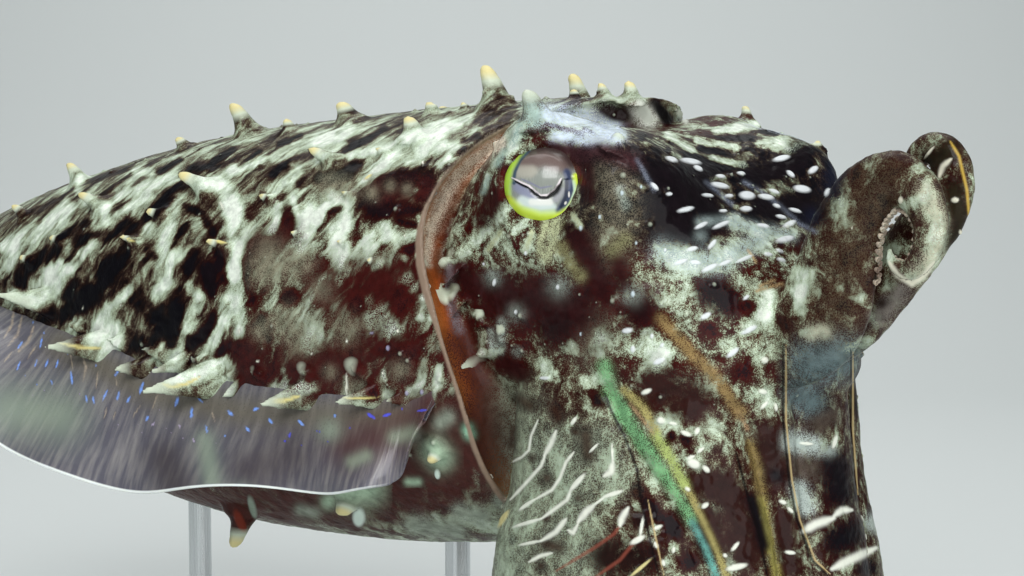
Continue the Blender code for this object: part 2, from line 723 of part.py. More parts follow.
def head_papillae(material, head):
    """The papillae over the eyes and on the cheeks."""
    pieces = []
    for side in (-1, 1):
        for root, height, direction, girth in HEAD_PAPILLAE_MM:
            pieces.append(papilla(mirrored([c * MM for c in root], side),
                                  Vector((direction[0], direction[1] * -side, direction[2])),
                                  height * MM, girth, PAPILLA_SIDES, material, head))
    return pieces


# Arms

def sucker(place, outward, size, material, parent):
    """A sucker, a short cup that widens from its stalk, on the inner face of an arm."""
    side = outward.orthogonal().normalized()
    other = outward.cross(side)
    rings = []
    for up, wide in SUCKER_PROFILE:
        centre = place + outward * up * SUCKER_HEIGHT * size
        rings.append([centre + (side * cos(2 * pi * s / SUCKER_SIDES) + other * sin(2 * pi * s / SUCKER_SIDES))
                      * wide * SUCKER_RADIUS * size for s in range(SUCKER_SIDES)])
    return lofted("sucker", rings, material, parent)


def crown_table():
    """Points of the crown's outline by their distance from its front, along the animal's right side."""
    steps = 400
    points = []
    for i in range(steps + 1):
        angle = pi * i / steps
        c, s = cos(angle), sin(angle)
        power = 2 / CROWN_SQUARENESS
        x = CROWN_CENTRE_X + CROWN_LENGTH * abs(c) ** power * (1 if c > 0 else -1)
        points.append((x, -CROWN_WIDTH * abs(s) ** power))
    points = np.array(points)
    length = np.concatenate([[0], np.cumsum(np.hypot(*np.diff(points, axis=0).T))])
    return length, points


CROWN_LENGTHS, CROWN_POINTS = crown_table()


def crown_point(distance, side, outward):
    """A point beside the crown's outline; the distance is from its front towards side."""
    def at(d):
        x = np.interp(abs(d), CROWN_LENGTHS, CROWN_POINTS[:, 0])
        y = np.interp(abs(d), CROWN_LENGTHS, CROWN_POINTS[:, 1])
        return np.array((x, y if d > 0 else -y))

    step = 0.0015
    here, along = at(distance), at(distance + step) - at(distance - step)
    along /= np.hypot(*along)
    normal = np.array((-along[1], along[0]))
    if np.dot(normal, here - np.array((CROWN_CENTRE_X, 0))) < 0:
        normal = -normal
    x, y = here + normal * outward
    return float(x), float(y) * -side


def hanging_section(name, level):
    """Span, flare and thickness of a hanging arm at a level, in metres."""
    levels = [-z for z in ARM_LEVELS_MM]
    t = np.interp(-level / MM, levels, np.linspace(0, 1, len(levels)))
    start, end = smooth_rows(ARM_SPANS_MM[name], t) * MM
    flare = smooth_rows([(f,) for f in ARM_FLARE_MM], t)[0] * MM
    thickness = smooth_rows([(f,) for f in ARM_THICKNESS_MM], t)[0] * MM
    return start, end, flare, thickness


def hanging_ring(name, side, level):
    """One level outline of a hanging arm."""
    start, end, flare, thickness = hanging_section(name, level)
    middle, half = (start + end) / 2, (end - start) / 2
    ring = []
    for s in range(ARM_SIDES):
        turn = 2 * pi * s / ARM_SIDES
        along = middle + half * cos(turn)
        out = flare - thickness / 2 + thickness / 2 * sin(turn)
        x, y = crown_point(along, side, out)
        ring.append(Vector((x, y, level)))
    return ring


def hanging_suckers(name, side, level, material, head):
    """A pair of suckers on the inner face of a hanging arm at a level."""
    start, end, flare, thickness = hanging_section(name, level)
    middle, half = (start + end) / 2, (end - start) / 2
    size = min(1.0, HANGING_SUCKER_SIZE[0] + thickness / HANGING_SUCKER_SIZE[1])
    spread = min(HANGING_ROW_SPREAD[0] * size, half * HANGING_ROW_SPREAD[1])
    cups = []
    for offset in (-spread, spread):
        depth = flare - thickness / 2 - thickness / 2 * sqrt(1 - (offset / half) ** 2)
        x, y = crown_point(middle + offset, side, depth)
        inner_x, inner_y = crown_point(middle + offset, side, depth - ARM_STEP)
        inward = Vector((inner_x - x, inner_y - y, 0)).normalized()
        cups.append(sucker(Vector((x, y, level)), inward, size, material, head))
    return cups


def build_hanging_arm(name, side, neighbours, head, material):
    """A hanging arm in two lengths, both cut clear of whatever they reach."""
    top, tip = ARM_LEVELS_MM[0] * MM, ARM_LEVELS_MM[-1] * MM
    upper_levels = np.linspace(top, ARM_SPLIT_Z, ARM_RINGS // 2 + 1)
    lower_levels = np.linspace(ARM_SPLIT_Z - GAP, tip, ARM_RINGS // 2 + 1)
    base = lofted(name + "_base", [hanging_ring(name, side, z) for z in upper_levels], material, head)
    tip_part = lofted(name + "_tip", [hanging_ring(name, side, z) for z in lower_levels], material, head)
    for part, label in ((base, "base"), (tip_part, "tip")):
        first, last = HANGING_SUCKERS_Z[label]
        cups = []
        for level in np.linspace(first, last, SUCKERS_A_ROW[label]):
            cups += hanging_suckers(name, side, level, material, head)
        combine(part, cups, "UNION", "MANIFOLD")
    return [clear_of(base, *neighbours), clear_of(tip_part, *neighbours)]


def raised_ring(rows, t):
    """One outline of a raised arm, square to its run."""
    here = smooth_rows(rows, t) * MM
    ahead, behind = smooth_rows(rows, t + 0.004)[:3], smooth_rows(rows, t - 0.004)[:3]
    run = Vector(ahead - behind).normalized()
    across = Vector((0, 1, 0))
    across = (across - run * across.dot(run)).normalized()
    wide = run.cross(across)
    centre = Vector(here[:3])
    ring = []
    for s in range(RAISED_SIDES):
        turn = 2 * pi * s / RAISED_SIDES
        ring.append(centre + wide * here[3] * cos(turn) + across * here[4] * sin(turn))
    return ring


def raised_suckers(rows, t, face, material, head):
    """A pair of suckers inside the curl of a raised arm; face tells which of its edges that is."""
    here = smooth_rows(rows, t) * MM
    ring = raised_ring(rows, t)
    centre = Vector(here[:3])
    inward = (ring[0] - centre).normalized() * face
    size = min(1.0, RAISED_SUCKER_SIZE[0] + here[3] / RAISED_SUCKER_SIZE[1])
    cups = []
    for offset in (-RAISED_ROW_OFFSET, RAISED_ROW_OFFSET):
        across = Vector((0, 1, 0)) * here[4] * offset
        depth = here[3] * sqrt(1 - offset ** 2)
        cups.append(sucker(centre + across + inward * depth, inward, size, material, head))
    return cups


def build_raised_arm(name, head_node, neighbours, head, material):
    """A raised arm in three lengths, base, middle and curled tip."""
    rows = RAISED_ARMS_MM[name]
    length = sum((Vector(a[:3]) - Vector(b[:3])).length for a, b in zip(rows, rows[1:])) * MM
    ends = (0.0,) + RAISED_SPLITS + (1.0,)
    parts = []
    for label, start, stop in zip(("_base", "_mid", "_tip"), ends, ends[1:]):
        first = start + (GAP * 1.3 / length if start else 0.0)
        count = max(4, round(RAISED_RINGS * (stop - start)))
        rings = [raised_ring(rows, t) for t in np.linspace(first, stop, count)]
        part = lofted(name + label, rings, material, head)
        cups = []
        lowest = max(first + RAISED_SUCKERS_START, RAISED_SUCKERS_FROM)
        for t in np.linspace(lowest, stop - RAISED_SUCKERS_END, SUCKERS_A_ROW[label[1:]]):
            cups += raised_suckers(rows, t, CURL_SIDE[name], material, head)
        parts.append(combine(part, cups, "UNION", "MANIFOLD"))
    clear_of(parts[0], head_node, *neighbours)
    clear_of(parts[1], parts[0])
    clear_of(parts[2], parts[1])
    return parts


# Funnel

def build_funnel(mantle, head_node, body, material):
    """The funnel, a flattened tube below the neck with an open end."""
    rings = []
    for r in range(FUNNEL_RINGS + 1):
        t = r / FUNNEL_RINGS
        x, z, width, height = smooth_rows(FUNNEL_PATH_MM, t) * MM
        xa, za = smooth_rows(FUNNEL_PATH_MM, min(t + FUNNEL_STEP, 1.0))[:2]
        xb, zb = smooth_rows(FUNNEL_PATH_MM, max(t - FUNNEL_STEP, 0.0))[:2]
        tilt = atan2(za - zb, xa - xb)
        rings.append([Vector((x - sin(tilt) * height * sin(2 * pi * s / FUNNEL_SIDES),
                              width * cos(2 * pi * s / FUNNEL_SIDES),
                              z + cos(tilt) * height * sin(2 * pi * s / FUNNEL_SIDES)))
                      for s in range(FUNNEL_SIDES)])
    centre = sum(rings[-1], Vector()) / FUNNEL_SIDES
    back = (sum(rings[-2], Vector()) / FUNNEL_SIDES - centre).normalized()
    for depth in (0.0, FUNNEL_BORE_DEPTH):
        rings.append([centre + back * depth + (p - centre).normalized() * FUNNEL_BORE for p in rings[FUNNEL_RINGS]])
    funnel = lofted("funnel", rings, material, body)
    return clear_of(funnel, mantle, head_node)


# Stand

def build_stand(mantle, body, plate, metal):
    """A flat base with rounded corners and two short rods up to the belly."""
    corner = BASE_CORNER
    outline = []
    for quarter, (sx, sy) in enumerate(((1, 1), (-1, 1), (-1, -1), (1, -1))):
        for k in range(BASE_CORNER_SIDES + 1):
            turn = pi / 2 * (quarter + k / BASE_CORNER_SIDES)
            outline.append(((BASE_LENGTH / 2 - corner) * sx + corner * cos(turn),
                            (BASE_WIDTH / 2 - corner) * sy + corner * sin(turn)))
    work = bmesh.new()
    face = work.faces.new([work.verts.new((x, y, 0.0)) for x, y in outline])
    grown_face = bmesh.ops.extrude_face_region(work, geom=[face])
    moved = [g for g in grown_face["geom"] if isinstance(g, bmesh.types.BMVert)]
    bmesh.ops.translate(work, verts=moved, vec=(0, 0, BASE_THICKNESS))
    bmesh.ops.recalc_face_normals(work, faces=work.faces)
    top = [e for e in work.edges if all(v.co.z > BASE_THICKNESS / 2 for v in e.verts)]
    bmesh.ops.bevel(work, geom=top, offset=BASE_EDGE, segments=2, affect="EDGES", profile=0.5)
    mesh = bpy.data.meshes.new("stand_base")
    work.to_mesh(mesh)
    work.free()
    mesh.materials.append(plate)
    base = bpy.data.objects.new("stand_base", mesh)
    bpy.context.scene.collection.objects.link(base)

    for label, x in ROD_X.items():
        work = bmesh.new()
        bottom, height = BASE_THICKNESS + GAP, AXIS_HEIGHT - BASE_THICKNESS - ROD_TOP
        bmesh.ops.create_cone(work, cap_ends=True, segments=ROD_SIDES, radius1=ROD_RADIUS, radius2=ROD_RADIUS,
                              depth=height, matrix=Matrix.Translation((0, 0, bottom + height / 2)))
        mesh = bpy.data.meshes.new("stand_rod_" + label)
        work.to_mesh(mesh)
        work.free()
        mesh.materials.append(metal)
        rod = bpy.data.objects.new("stand_rod_" + label, mesh)
        rod.location = (x, 0, 0)
        bpy.context.scene.collection.objects.link(rod)
        clear_of(rod, mantle)


def build():
    """Make every part in order, each cut clear of those before it."""
    wipe_scene()
    skin = finish("skin_mottled", "#6B6A52", 0.45)
    membrane = finish("fin_membrane", "#8F86A6", 0.35)
    inner = finish("arm_skin", "#7C6B4E", 0.42)
    iris = finish("eye_iris", "#C9D24A", 0.12)
    plate = finish("stand_plate_acrylic", "#F2F2EE", 0.2)
    metal = finish("stand_rod_steel", "#B8BCC0", 0.25, 1.0)

    body = add_frame("body_frame", (0, 0, AXIS_HEIGHT))
    head = add_frame("head_frame", NECK, HEAD_YAW, body)

    mantle = build_mantle(body, skin)
    for name, side in (("fin_right", -1), ("fin_left", 1)):
        build_fin(name, side, mantle, body, membrane)
    head_node = build_head_form(head, skin)
    eyes = [build_eye(name, side, head, iris) for name, side in (("eye_right", -1), ("eye_left", 1))]
    combine(head_node, [lid(side, skin, head) for side in (-1, 1)] + head_papillae(skin, head), "UNION", "MANIFOLD")
    clear_of(head_node, *eyes)
    clear_of(head_node, mantle)
    build_funnel(mantle, head_node, body, inner)

    arms = []
    for name in RAISED_ARMS_MM:
        arms += build_raised_arm(name, head_node, arms, head, inner)
    for side, word in ((-1, "right"), (1, "left")):
        for pair in (2, 3, 4):
            arms += build_hanging_arm(f"arm_{pair}_{word}", side, [mantle, head_node] + arms, head, inner)
    build_stand(mantle, body, plate, metal)


build()
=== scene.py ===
"""Looks of a broadclub cuttlefish, a life-size display model that swims over its stand.

The animal swims along +X with its right side towards -Y. One skin covers the mantle, head, arms and
funnel; the eyes, suckers and stand are pieces of their own. Sizes are in metres, tables in millimetres
where their names say so, and pixels are those of the photograph, 1024 wide and 576 high.
"""
import logging
from dataclasses import dataclass, field, replace
from enum import Enum
from math import cos, pi, radians, sin, sqrt

import bmesh
import bpy
import numpy as np
from mathutils import Matrix, Vector, noise
from mathutils.bvhtree import BVHTree


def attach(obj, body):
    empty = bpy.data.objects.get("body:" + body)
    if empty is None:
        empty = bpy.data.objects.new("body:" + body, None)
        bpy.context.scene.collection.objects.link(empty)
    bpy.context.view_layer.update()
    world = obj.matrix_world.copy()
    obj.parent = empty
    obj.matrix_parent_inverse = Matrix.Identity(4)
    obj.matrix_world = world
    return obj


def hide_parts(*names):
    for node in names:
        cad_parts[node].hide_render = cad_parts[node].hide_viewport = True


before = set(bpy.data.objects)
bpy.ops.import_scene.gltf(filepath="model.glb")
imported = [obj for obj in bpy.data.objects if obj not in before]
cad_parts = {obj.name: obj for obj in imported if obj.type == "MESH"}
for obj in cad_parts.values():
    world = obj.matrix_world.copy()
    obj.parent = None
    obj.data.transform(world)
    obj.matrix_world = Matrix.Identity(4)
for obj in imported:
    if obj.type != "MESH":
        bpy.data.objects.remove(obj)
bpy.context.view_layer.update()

MM = 0.001
AXIS_HEIGHT = 0.205              # mantle axis above the floor
NECK = np.array((0.110, 0.0, AXIS_HEIGHT))
HEAD_YAW = radians(-10)
SEED = 29
log = logging.getLogger("cuttlefish")


# Colour and mesh helpers

def linear(hex_colour: str) -> tuple[float, float, float, float]:
    """Turn an sRGB hex colour into linear RGBA.

    Args:
        hex_colour: Six hex digits after a hash.

    Returns:
        Linear red, green, blue and an alpha of one.
    """
    parts = [int(hex_colour[i:i + 2], 16) / 255 for i in (1, 3, 5)]
    return tuple(c / 12.92 if c <= 0.04045 else ((c + 0.055) / 1.055) ** 2.4 for c in parts) + (1.0,)


def add_node(tree: bpy.types.NodeTree, kind: str, inputs: dict | tuple = (), output: int | str = 0,
             stops: tuple = (), **settings: object) -> bpy.types.NodeSocket:
    """Add one shader node with its settings, values and links.

    Args:
        tree: The material's node tree.
        kind: The node's type without its first words, such as "Math" for ShaderNodeMath.
        inputs: Values, or output sockets to link from, in the inputs' order or by their names or numbers.
        output: The name or number of the output that is given back.
        stops: For a colour ramp, the place and the hex colour of each stop.
        settings: Properties of the node itself.

    Returns:
        The output's socket.
    """
    node = tree.nodes.new("ShaderNode" + kind)
    for name, value in settings.items():
        setattr(node, name, value)
    for socket, value in (inputs.items() if isinstance(inputs, dict) else enumerate(inputs)):
        if isinstance(value, bpy.types.NodeSocket):
            tree.links.new(value, node.inputs[socket])
        else:
            node.inputs[socket].default_value = value
    if stops:
        elements = node.color_ramp.elements
        while len(elements) < len(stops):
            elements.new(0.5)
        for element, (at, colour) in zip(elements, stops):
            element.position, element.color = at, linear(colour)
    return node.outputs[output]


def smooth_rows(rows: np.ndarray, t: np.ndarray | float) -> np.ndarray:
    """Read a Catmull-Rom curve through the rows of a table.

    Args:
        rows: The table, a row for each station.
        t: Places along it, from 0 to 1.

    Returns:
        One row for each place.
    """
    rows = np.asarray(rows, float)
    place = np.clip(np.atleast_1d(t), 0.0, 1.0) * (len(rows) - 1)
    first = np.minimum(place.astype(int), len(rows) - 2)
    f = (place - first)[:, None]
    padded = np.vstack([2 * rows[0] - rows[1], rows, 2 * rows[-1] - rows[-2]])
    p0, p1, p2, p3 = (padded[first + k] for k in range(4))
    return 0.5 * (2 * p1 + (p2 - p0) * f + (2 * p0 - 5 * p1 + 4 * p2 - p3) * f ** 2
                  + (3 * p1 - p0 - 3 * p2 + p3) * f ** 3)


def smooth_step(value: np.ndarray, low: float, high: float) -> np.ndarray:
    """Rise softly from 0 at low to 1 at high.

    Args:
        value: The values to read.
        low: Where the rise starts.
        high: Where it ends.

    Returns:
        The rise at each value.
    """
    share = np.clip((value - low) / (high - low), 0.0, 1.0)
    return share * share * (3 - 2 * share)


def oval(angle: np.ndarray, width: np.ndarray, top: np.ndarray, bottom: np.ndarray,
         squareness: float | np.ndarray) -> tuple[np.ndarray, np.ndarray]:
    """Across and up coordinates of a squarish oval.

    Args:
        angle: Angle from the oval's top.
        width: Half width.
        top: Height above the centre.
        bottom: Depth below it.
        squareness: 2 for an ellipse, more for a squarer form.

    Returns:
        The across and up coordinates.
    """
    s, c = np.sin(angle), np.cos(angle)
    power = 2.0 / squareness
    height = np.where(c > 0, top, bottom)
    return width * np.sign(s) * np.abs(s) ** power, height * np.sign(c) * np.abs(c) ** power


def to_head(points: np.ndarray) -> np.ndarray:
    """World points in the head's own frame.

    Args:
        points: Points of the world, one row each.

    Returns:
        The same points, measured from the head.
    """
    c, s = cos(HEAD_YAW), sin(HEAD_YAW)
    p = np.asarray(points, float) - NECK
    return np.stack([p[..., 0] * c + p[..., 1] * s, -p[..., 0] * s + p[..., 1] * c, p[..., 2]], -1)


def from_head(points: np.ndarray) -> np.ndarray:
    """Points of the head's frame in the world.

    Args:
        points: Points measured from the head, one row each.

    Returns:
        The same points in the world.
    """
    c, s = cos(HEAD_YAW), sin(HEAD_YAW)
    p = np.asarray(points, float)
    return np.stack([p[..., 0] * c - p[..., 1] * s, p[..., 0] * s + p[..., 1] * c, p[..., 2]], -1) + NECK


@dataclass
class Form:
    """Points and faces of one or more closed surfaces, in the world."""

    points: np.ndarray
    quads: np.ndarray
    triangles: np.ndarray

    @classmethod
    def loft(cls, rings: np.ndarray) -> "Form":
        """Close a surface through rings of equal count.

        Args:
            rings: Points by ring and by place round it.

        Returns:
            The closed form, with a fan at each end.
        """
        rows, sides = rings.shape[:2]
        index = np.arange(rows * sides).reshape(rows, sides)
        after = np.roll(index, -1, axis=1)
        quads = np.stack([index[:-1], after[:-1], after[1:], index[1:]], -1).reshape(-1, 4)
        points = np.vstack([rings.reshape(-1, 3), rings[0].mean(0), rings[-1].mean(0)])
        start = np.full(sides, rows * sides)
        fans = np.vstack([np.stack([after[0], index[0], start], -1),
                          np.stack([index[-1], after[-1], start + 1], -1)])
        halves = points[np.vstack([quads[:, :3], quads[:, (0, 2, 3)], fans])]
        volume = np.einsum("ij,ij->", halves[:, 0], np.cross(halves[:, 1], halves[:, 2]))
        return cls(points, quads, fans) if volume > 0 else cls(points, quads[:, ::-1], fans[:, ::-1])

    @classmethod
    def join(cls, forms: list["Form"]) -> "Form":
        """Gather forms into one, each still closed.

        Args:
            forms: The forms to gather.

        Returns:
            One form with all their surfaces.
        """
        offsets = np.cumsum([0] + [len(form.points) for form in forms[:-1]])
        return cls(np.vstack([form.points for form in forms]),
                   np.vstack([form.quads + offset for form, offset in zip(forms, offsets)]),
                   np.vstack([form.triangles + offset for form, offset in zip(forms, offsets)]))

    def mesh(self, name: str) -> bpy.types.Mesh:
        """Make a Blender mesh, its faces turned outward.

        Args:
            name: The mesh's name.

        Returns:
            The mesh, shaded smooth.
        """
        mesh = bpy.data.meshes.new(name)
        corners = np.concatenate([self.quads.ravel(), self.triangles.ravel()])
        starts = np.concatenate([np.arange(len(self.quads)) * 4,
                                 len(self.quads) * 4 + np.arange(len(self.triangles)) * 3])
        mesh.vertices.add(len(self.points))
        mesh.vertices.foreach_set("co", self.points.ravel())
        mesh.loops.add(len(corners))
        mesh.loops.foreach_set("vertex_index", corners)
        mesh.polygons.add(len(starts))
        mesh.polygons.foreach_set("loop_start", starts)
        mesh.update(calc_edges=True)
        mesh.validate()
        mesh.shade_smooth()
        return mesh

    def tree(self) -> BVHTree:
        """A search tree of the surfaces, for casting rays at them."""
        faces = [tuple(f) for f in self.quads.tolist()] + [tuple(f) for f in self.triangles.tolist()]
        return BVHTree.FromPolygons(self.points.tolist(), faces)


def add_object(name: str, mesh: bpy.types.Mesh, *materials: bpy.types.Material) -> bpy.types.Object:
    """Place a mesh in the scene.

    Args:
        name: The object's name.
        mesh: Its mesh.
        materials: Its materials, in slot order.

    Returns:
        The new object.
    """
    item = bpy.data.objects.new(name, mesh)
    for material in materials:
        mesh.materials.append(material)
    bpy.context.scene.collection.objects.link(item)
    return item


def read_points(mesh: bpy.types.Mesh) -> np.ndarray:
    """The mesh's points, one row each.

    Args:
        mesh: The mesh.

    Returns:
        Its points.
    """
    points = np.empty(len(mesh.vertices) * 3, np.float32)
    mesh.vertices.foreach_get("co", points)
    return points.reshape(-1, 3).astype(float)


def read_normals(mesh: bpy.types.Mesh) -> np.ndarray:
    """The mesh's point normals, one row each.

    Args:
        mesh: The mesh.

    Returns:
        Its normals.
    """
    normals = np.empty(len(mesh.vertices) * 3, np.float32)
    mesh.vertex_normals.foreach_get("vector", normals)
    return normals.reshape(-1, 3).astype(float)


def write_points(mesh: bpy.types.Mesh, points: np.ndarray) -> None:
    """Move the mesh's points."""
    mesh.vertices.foreach_set("co", points.astype(np.float32).ravel())
    mesh.update()


# The photograph's camera

@dataclass(frozen=True)
class PhotoView:
    """The photograph's camera, found from the animal's outline in the picture."""

    azimuth: float = radians(38.0)
    elevation: float = radians(4.4)
    place: tuple[float, float, float] = (0.5123, -0.5414, 0.2662)
    focal_px: float = 1802.0
    width_px: float = 1024.0
    height_px: float = 576.0
    sensor: float = 36.0

    @property
    def axes(self) -> tuple[np.ndarray, np.ndarray, np.ndarray]:
        """Right, forward and up in the world.

        Returns:
            The three directions, each of length one.
        """
        right = np.array((cos(self.azimuth), sin(self.azimuth), 0.0))
        forward = np.array((-sin(self.azimuth) * cos(self.elevation), cos(self.azimuth) * cos(self.elevation),
                            -sin(self.elevation)))
        return right, forward, np.cross(right, forward)

    def ray(self, pixel: tuple[float, float]) -> np.ndarray:
        """The way from the camera through a pixel, one metre deep."""
        right, forward, up = self.axes
        return (forward + right * (pixel[0] - self.width_px / 2) / self.focal_px
                - up * (pixel[1] - self.height_px / 2) / self.focal_px)

    def project(self, points: np.ndarray) -> tuple[np.ndarray, np.ndarray]:
        """Pixels of world points.

        Args:
            points: One row each.

        Returns:
            Their pixels and their depths.
        """
        right, forward, up = self.axes
        away = np.asarray(points) - np.array(self.place)
        depth = away @ forward
        across = self.width_px / 2 + self.focal_px * (away @ right) / depth
        down = self.height_px / 2 - self.focal_px * (away @ up) / depth
        return np.stack([across, down], -1), depth

    def hit(self, tree: BVHTree, pixel: tuple[float, float]) -> tuple[np.ndarray, np.ndarray] | None:
        """Where a pixel's ray first meets a surface.

        Args:
            tree: The surface.
            pixel: The pixel.

        Returns:
            The point and its normal, or None.
        """
        place, normal, _, _ = tree.ray_cast(Vector(self.place), Vector(self.ray(pixel)))
        return None if place is None else (np.array(place), np.array(normal))

    def build(self) -> bpy.types.Object:
        """Make the camera and use it.

        Returns:
            The camera.
        """
        right, forward, up = (Vector(axis) for axis in self.axes)
        data = bpy.data.cameras.new("photo_camera")
        data.sensor_width = self.sensor
        data.lens = self.sensor * self.focal_px / self.width_px
        data.clip_start = 0.01
        camera = bpy.data.objects.new("photo_camera", data)
        turned = Matrix((right, up, -forward)).transposed().to_4x4()
        camera.matrix_world = Matrix.Translation(self.place) @ turned
        bpy.context.scene.collection.objects.link(camera)
        bpy.context.scene.camera = camera
        return camera


VIEW = PhotoView()


# Flesh forms

@dataclass
class Mantle:
    """The mantle, lofted from the tail to its free rim, with the groove that the neck rises from."""

    stations_mm: tuple = (   # x, half width, height above the axis, depth below it
        (-265, 0, 0, 0), (-262, 12, 7, 9), (-249, 27, 16, 21), (-218, 46, 27, 40), (-172, 64, 40, 62),
        (-128, 75, 52, 80), (-53, 84, 68, 94), (25, 86, 76, 94), (80, 83, 80, 87), (105, 80, 80, 80),
    )
    squareness: float = 2.15
    rim_x: float = 0.105
    dorsal_lip: float = 0.045
    dorsal_lip_reach: float = 0.62
    lip_lean: float = radians(-9)
    ventral_lip: float = 0.023
    ventral_from: float = radians(58)
    ventral_to: float = radians(112)
    collar_steps_mm: tuple = (  # forward of the rim, inward of its outline
        (0.5, 0.1), (1.0, 0.6), (0.9, 1.3), (-0.2, 2.0), (-1.8, 3.2), (-3.2, 5.6), (-3.8, 9.0), (-3.2, 14.0),
        (1.0, 21.0), (7.0, 27.0), (10.0, 40.0),
    )
    closed_from: float = radians(34)     # under the dorsal lip the groove is nearly closed up to this angle
    closed_to: float = radians(58)
    rows: int = 220
    sides: int = 240

    def rim(self, angle: np.ndarray) -> np.ndarray:
        """How far forward the rim lies.

        Args:
            angle: Angles from the top.

        Returns:
            The rim's x at each angle.
        """
        turn = np.arctan2(np.sin(angle), np.cos(angle))
        dorsal = self.dorsal_lip * np.exp(-((turn - self.lip_lean) / self.dorsal_lip_reach) ** 2)
        ventral = self.ventral_lip * smooth_step(np.abs(turn), self.ventral_from, self.ventral_to)
        return self.rim_x + dorsal + ventral

    def surface(self, t: np.ndarray, angle: np.ndarray, inset: np.ndarray | float = 0.0) -> np.ndarray:
        """Points of the mantle's skin in the world.

        Args:
            t: Places from the tail, 0, to the rim, 1.
            angle: Angles from the top over the animal's right.
            inset: How far inside the skin.

        Returns:
            One point for each place.
        """
        x, width, top, bottom = (smooth_rows(self.stations_mm, t) * MM).T
        across, up = oval(angle, np.maximum(width - inset, 0), np.maximum(top - inset, 0),
                          np.maximum(bottom - inset, 0), self.squareness)
        tail, front = self.stations_mm[0][0] * MM, self.stations_mm[-1][0] * MM
        share = (x - tail) / (front - tail)
        return np.stack([x + (self.rim(angle) - self.rim_x) * share ** 3, -across, up + AXIS_HEIGHT], -1)

    def half_width(self, x: np.ndarray, z: np.ndarray) -> np.ndarray:
        """Half width of the mantle.

        Args:
            x: Places along it.
            z: Heights over its axis.

        Returns:
            The half width at each place.
        """
        t = np.linspace(0, 1, 600)
        table = smooth_rows(self.stations_mm, t) * MM
        width, top, bottom = (np.interp(x, table[:, 0], table[:, k]) for k in (1, 2, 3))
        share = np.clip(np.abs(z) / np.maximum(np.where(z > 0, top, bottom), 1e-6), 0, 1)
        return width * (1 - share ** self.squareness) ** (1 / self.squareness)

    def build(self) -> Form:
        """Loft the mantle with its rim and collar groove.

        Returns:
            The closed mantle.
        """
        angle = 2 * pi * (np.arange(self.sides) + 0.5) / self.sides
        places = np.linspace(0.004, 1.0, self.rows) ** 0.93
        rings = [self.surface(np.full(self.sides, t), angle) for t in places]
        open_ = 0.12 + 0.88 * smooth_step(np.abs(np.arctan2(np.sin(angle), np.cos(angle))), self.closed_from,
                                          self.closed_to)
        for forward, inward in self.collar_steps_mm:
            ring = self.surface(np.ones(self.sides), angle, inward * MM)
            ring[:, 0] += forward * MM * (open_ if forward < 0 else 1.0)
            rings.append(ring)
        return Form.loft(np.array(rings))


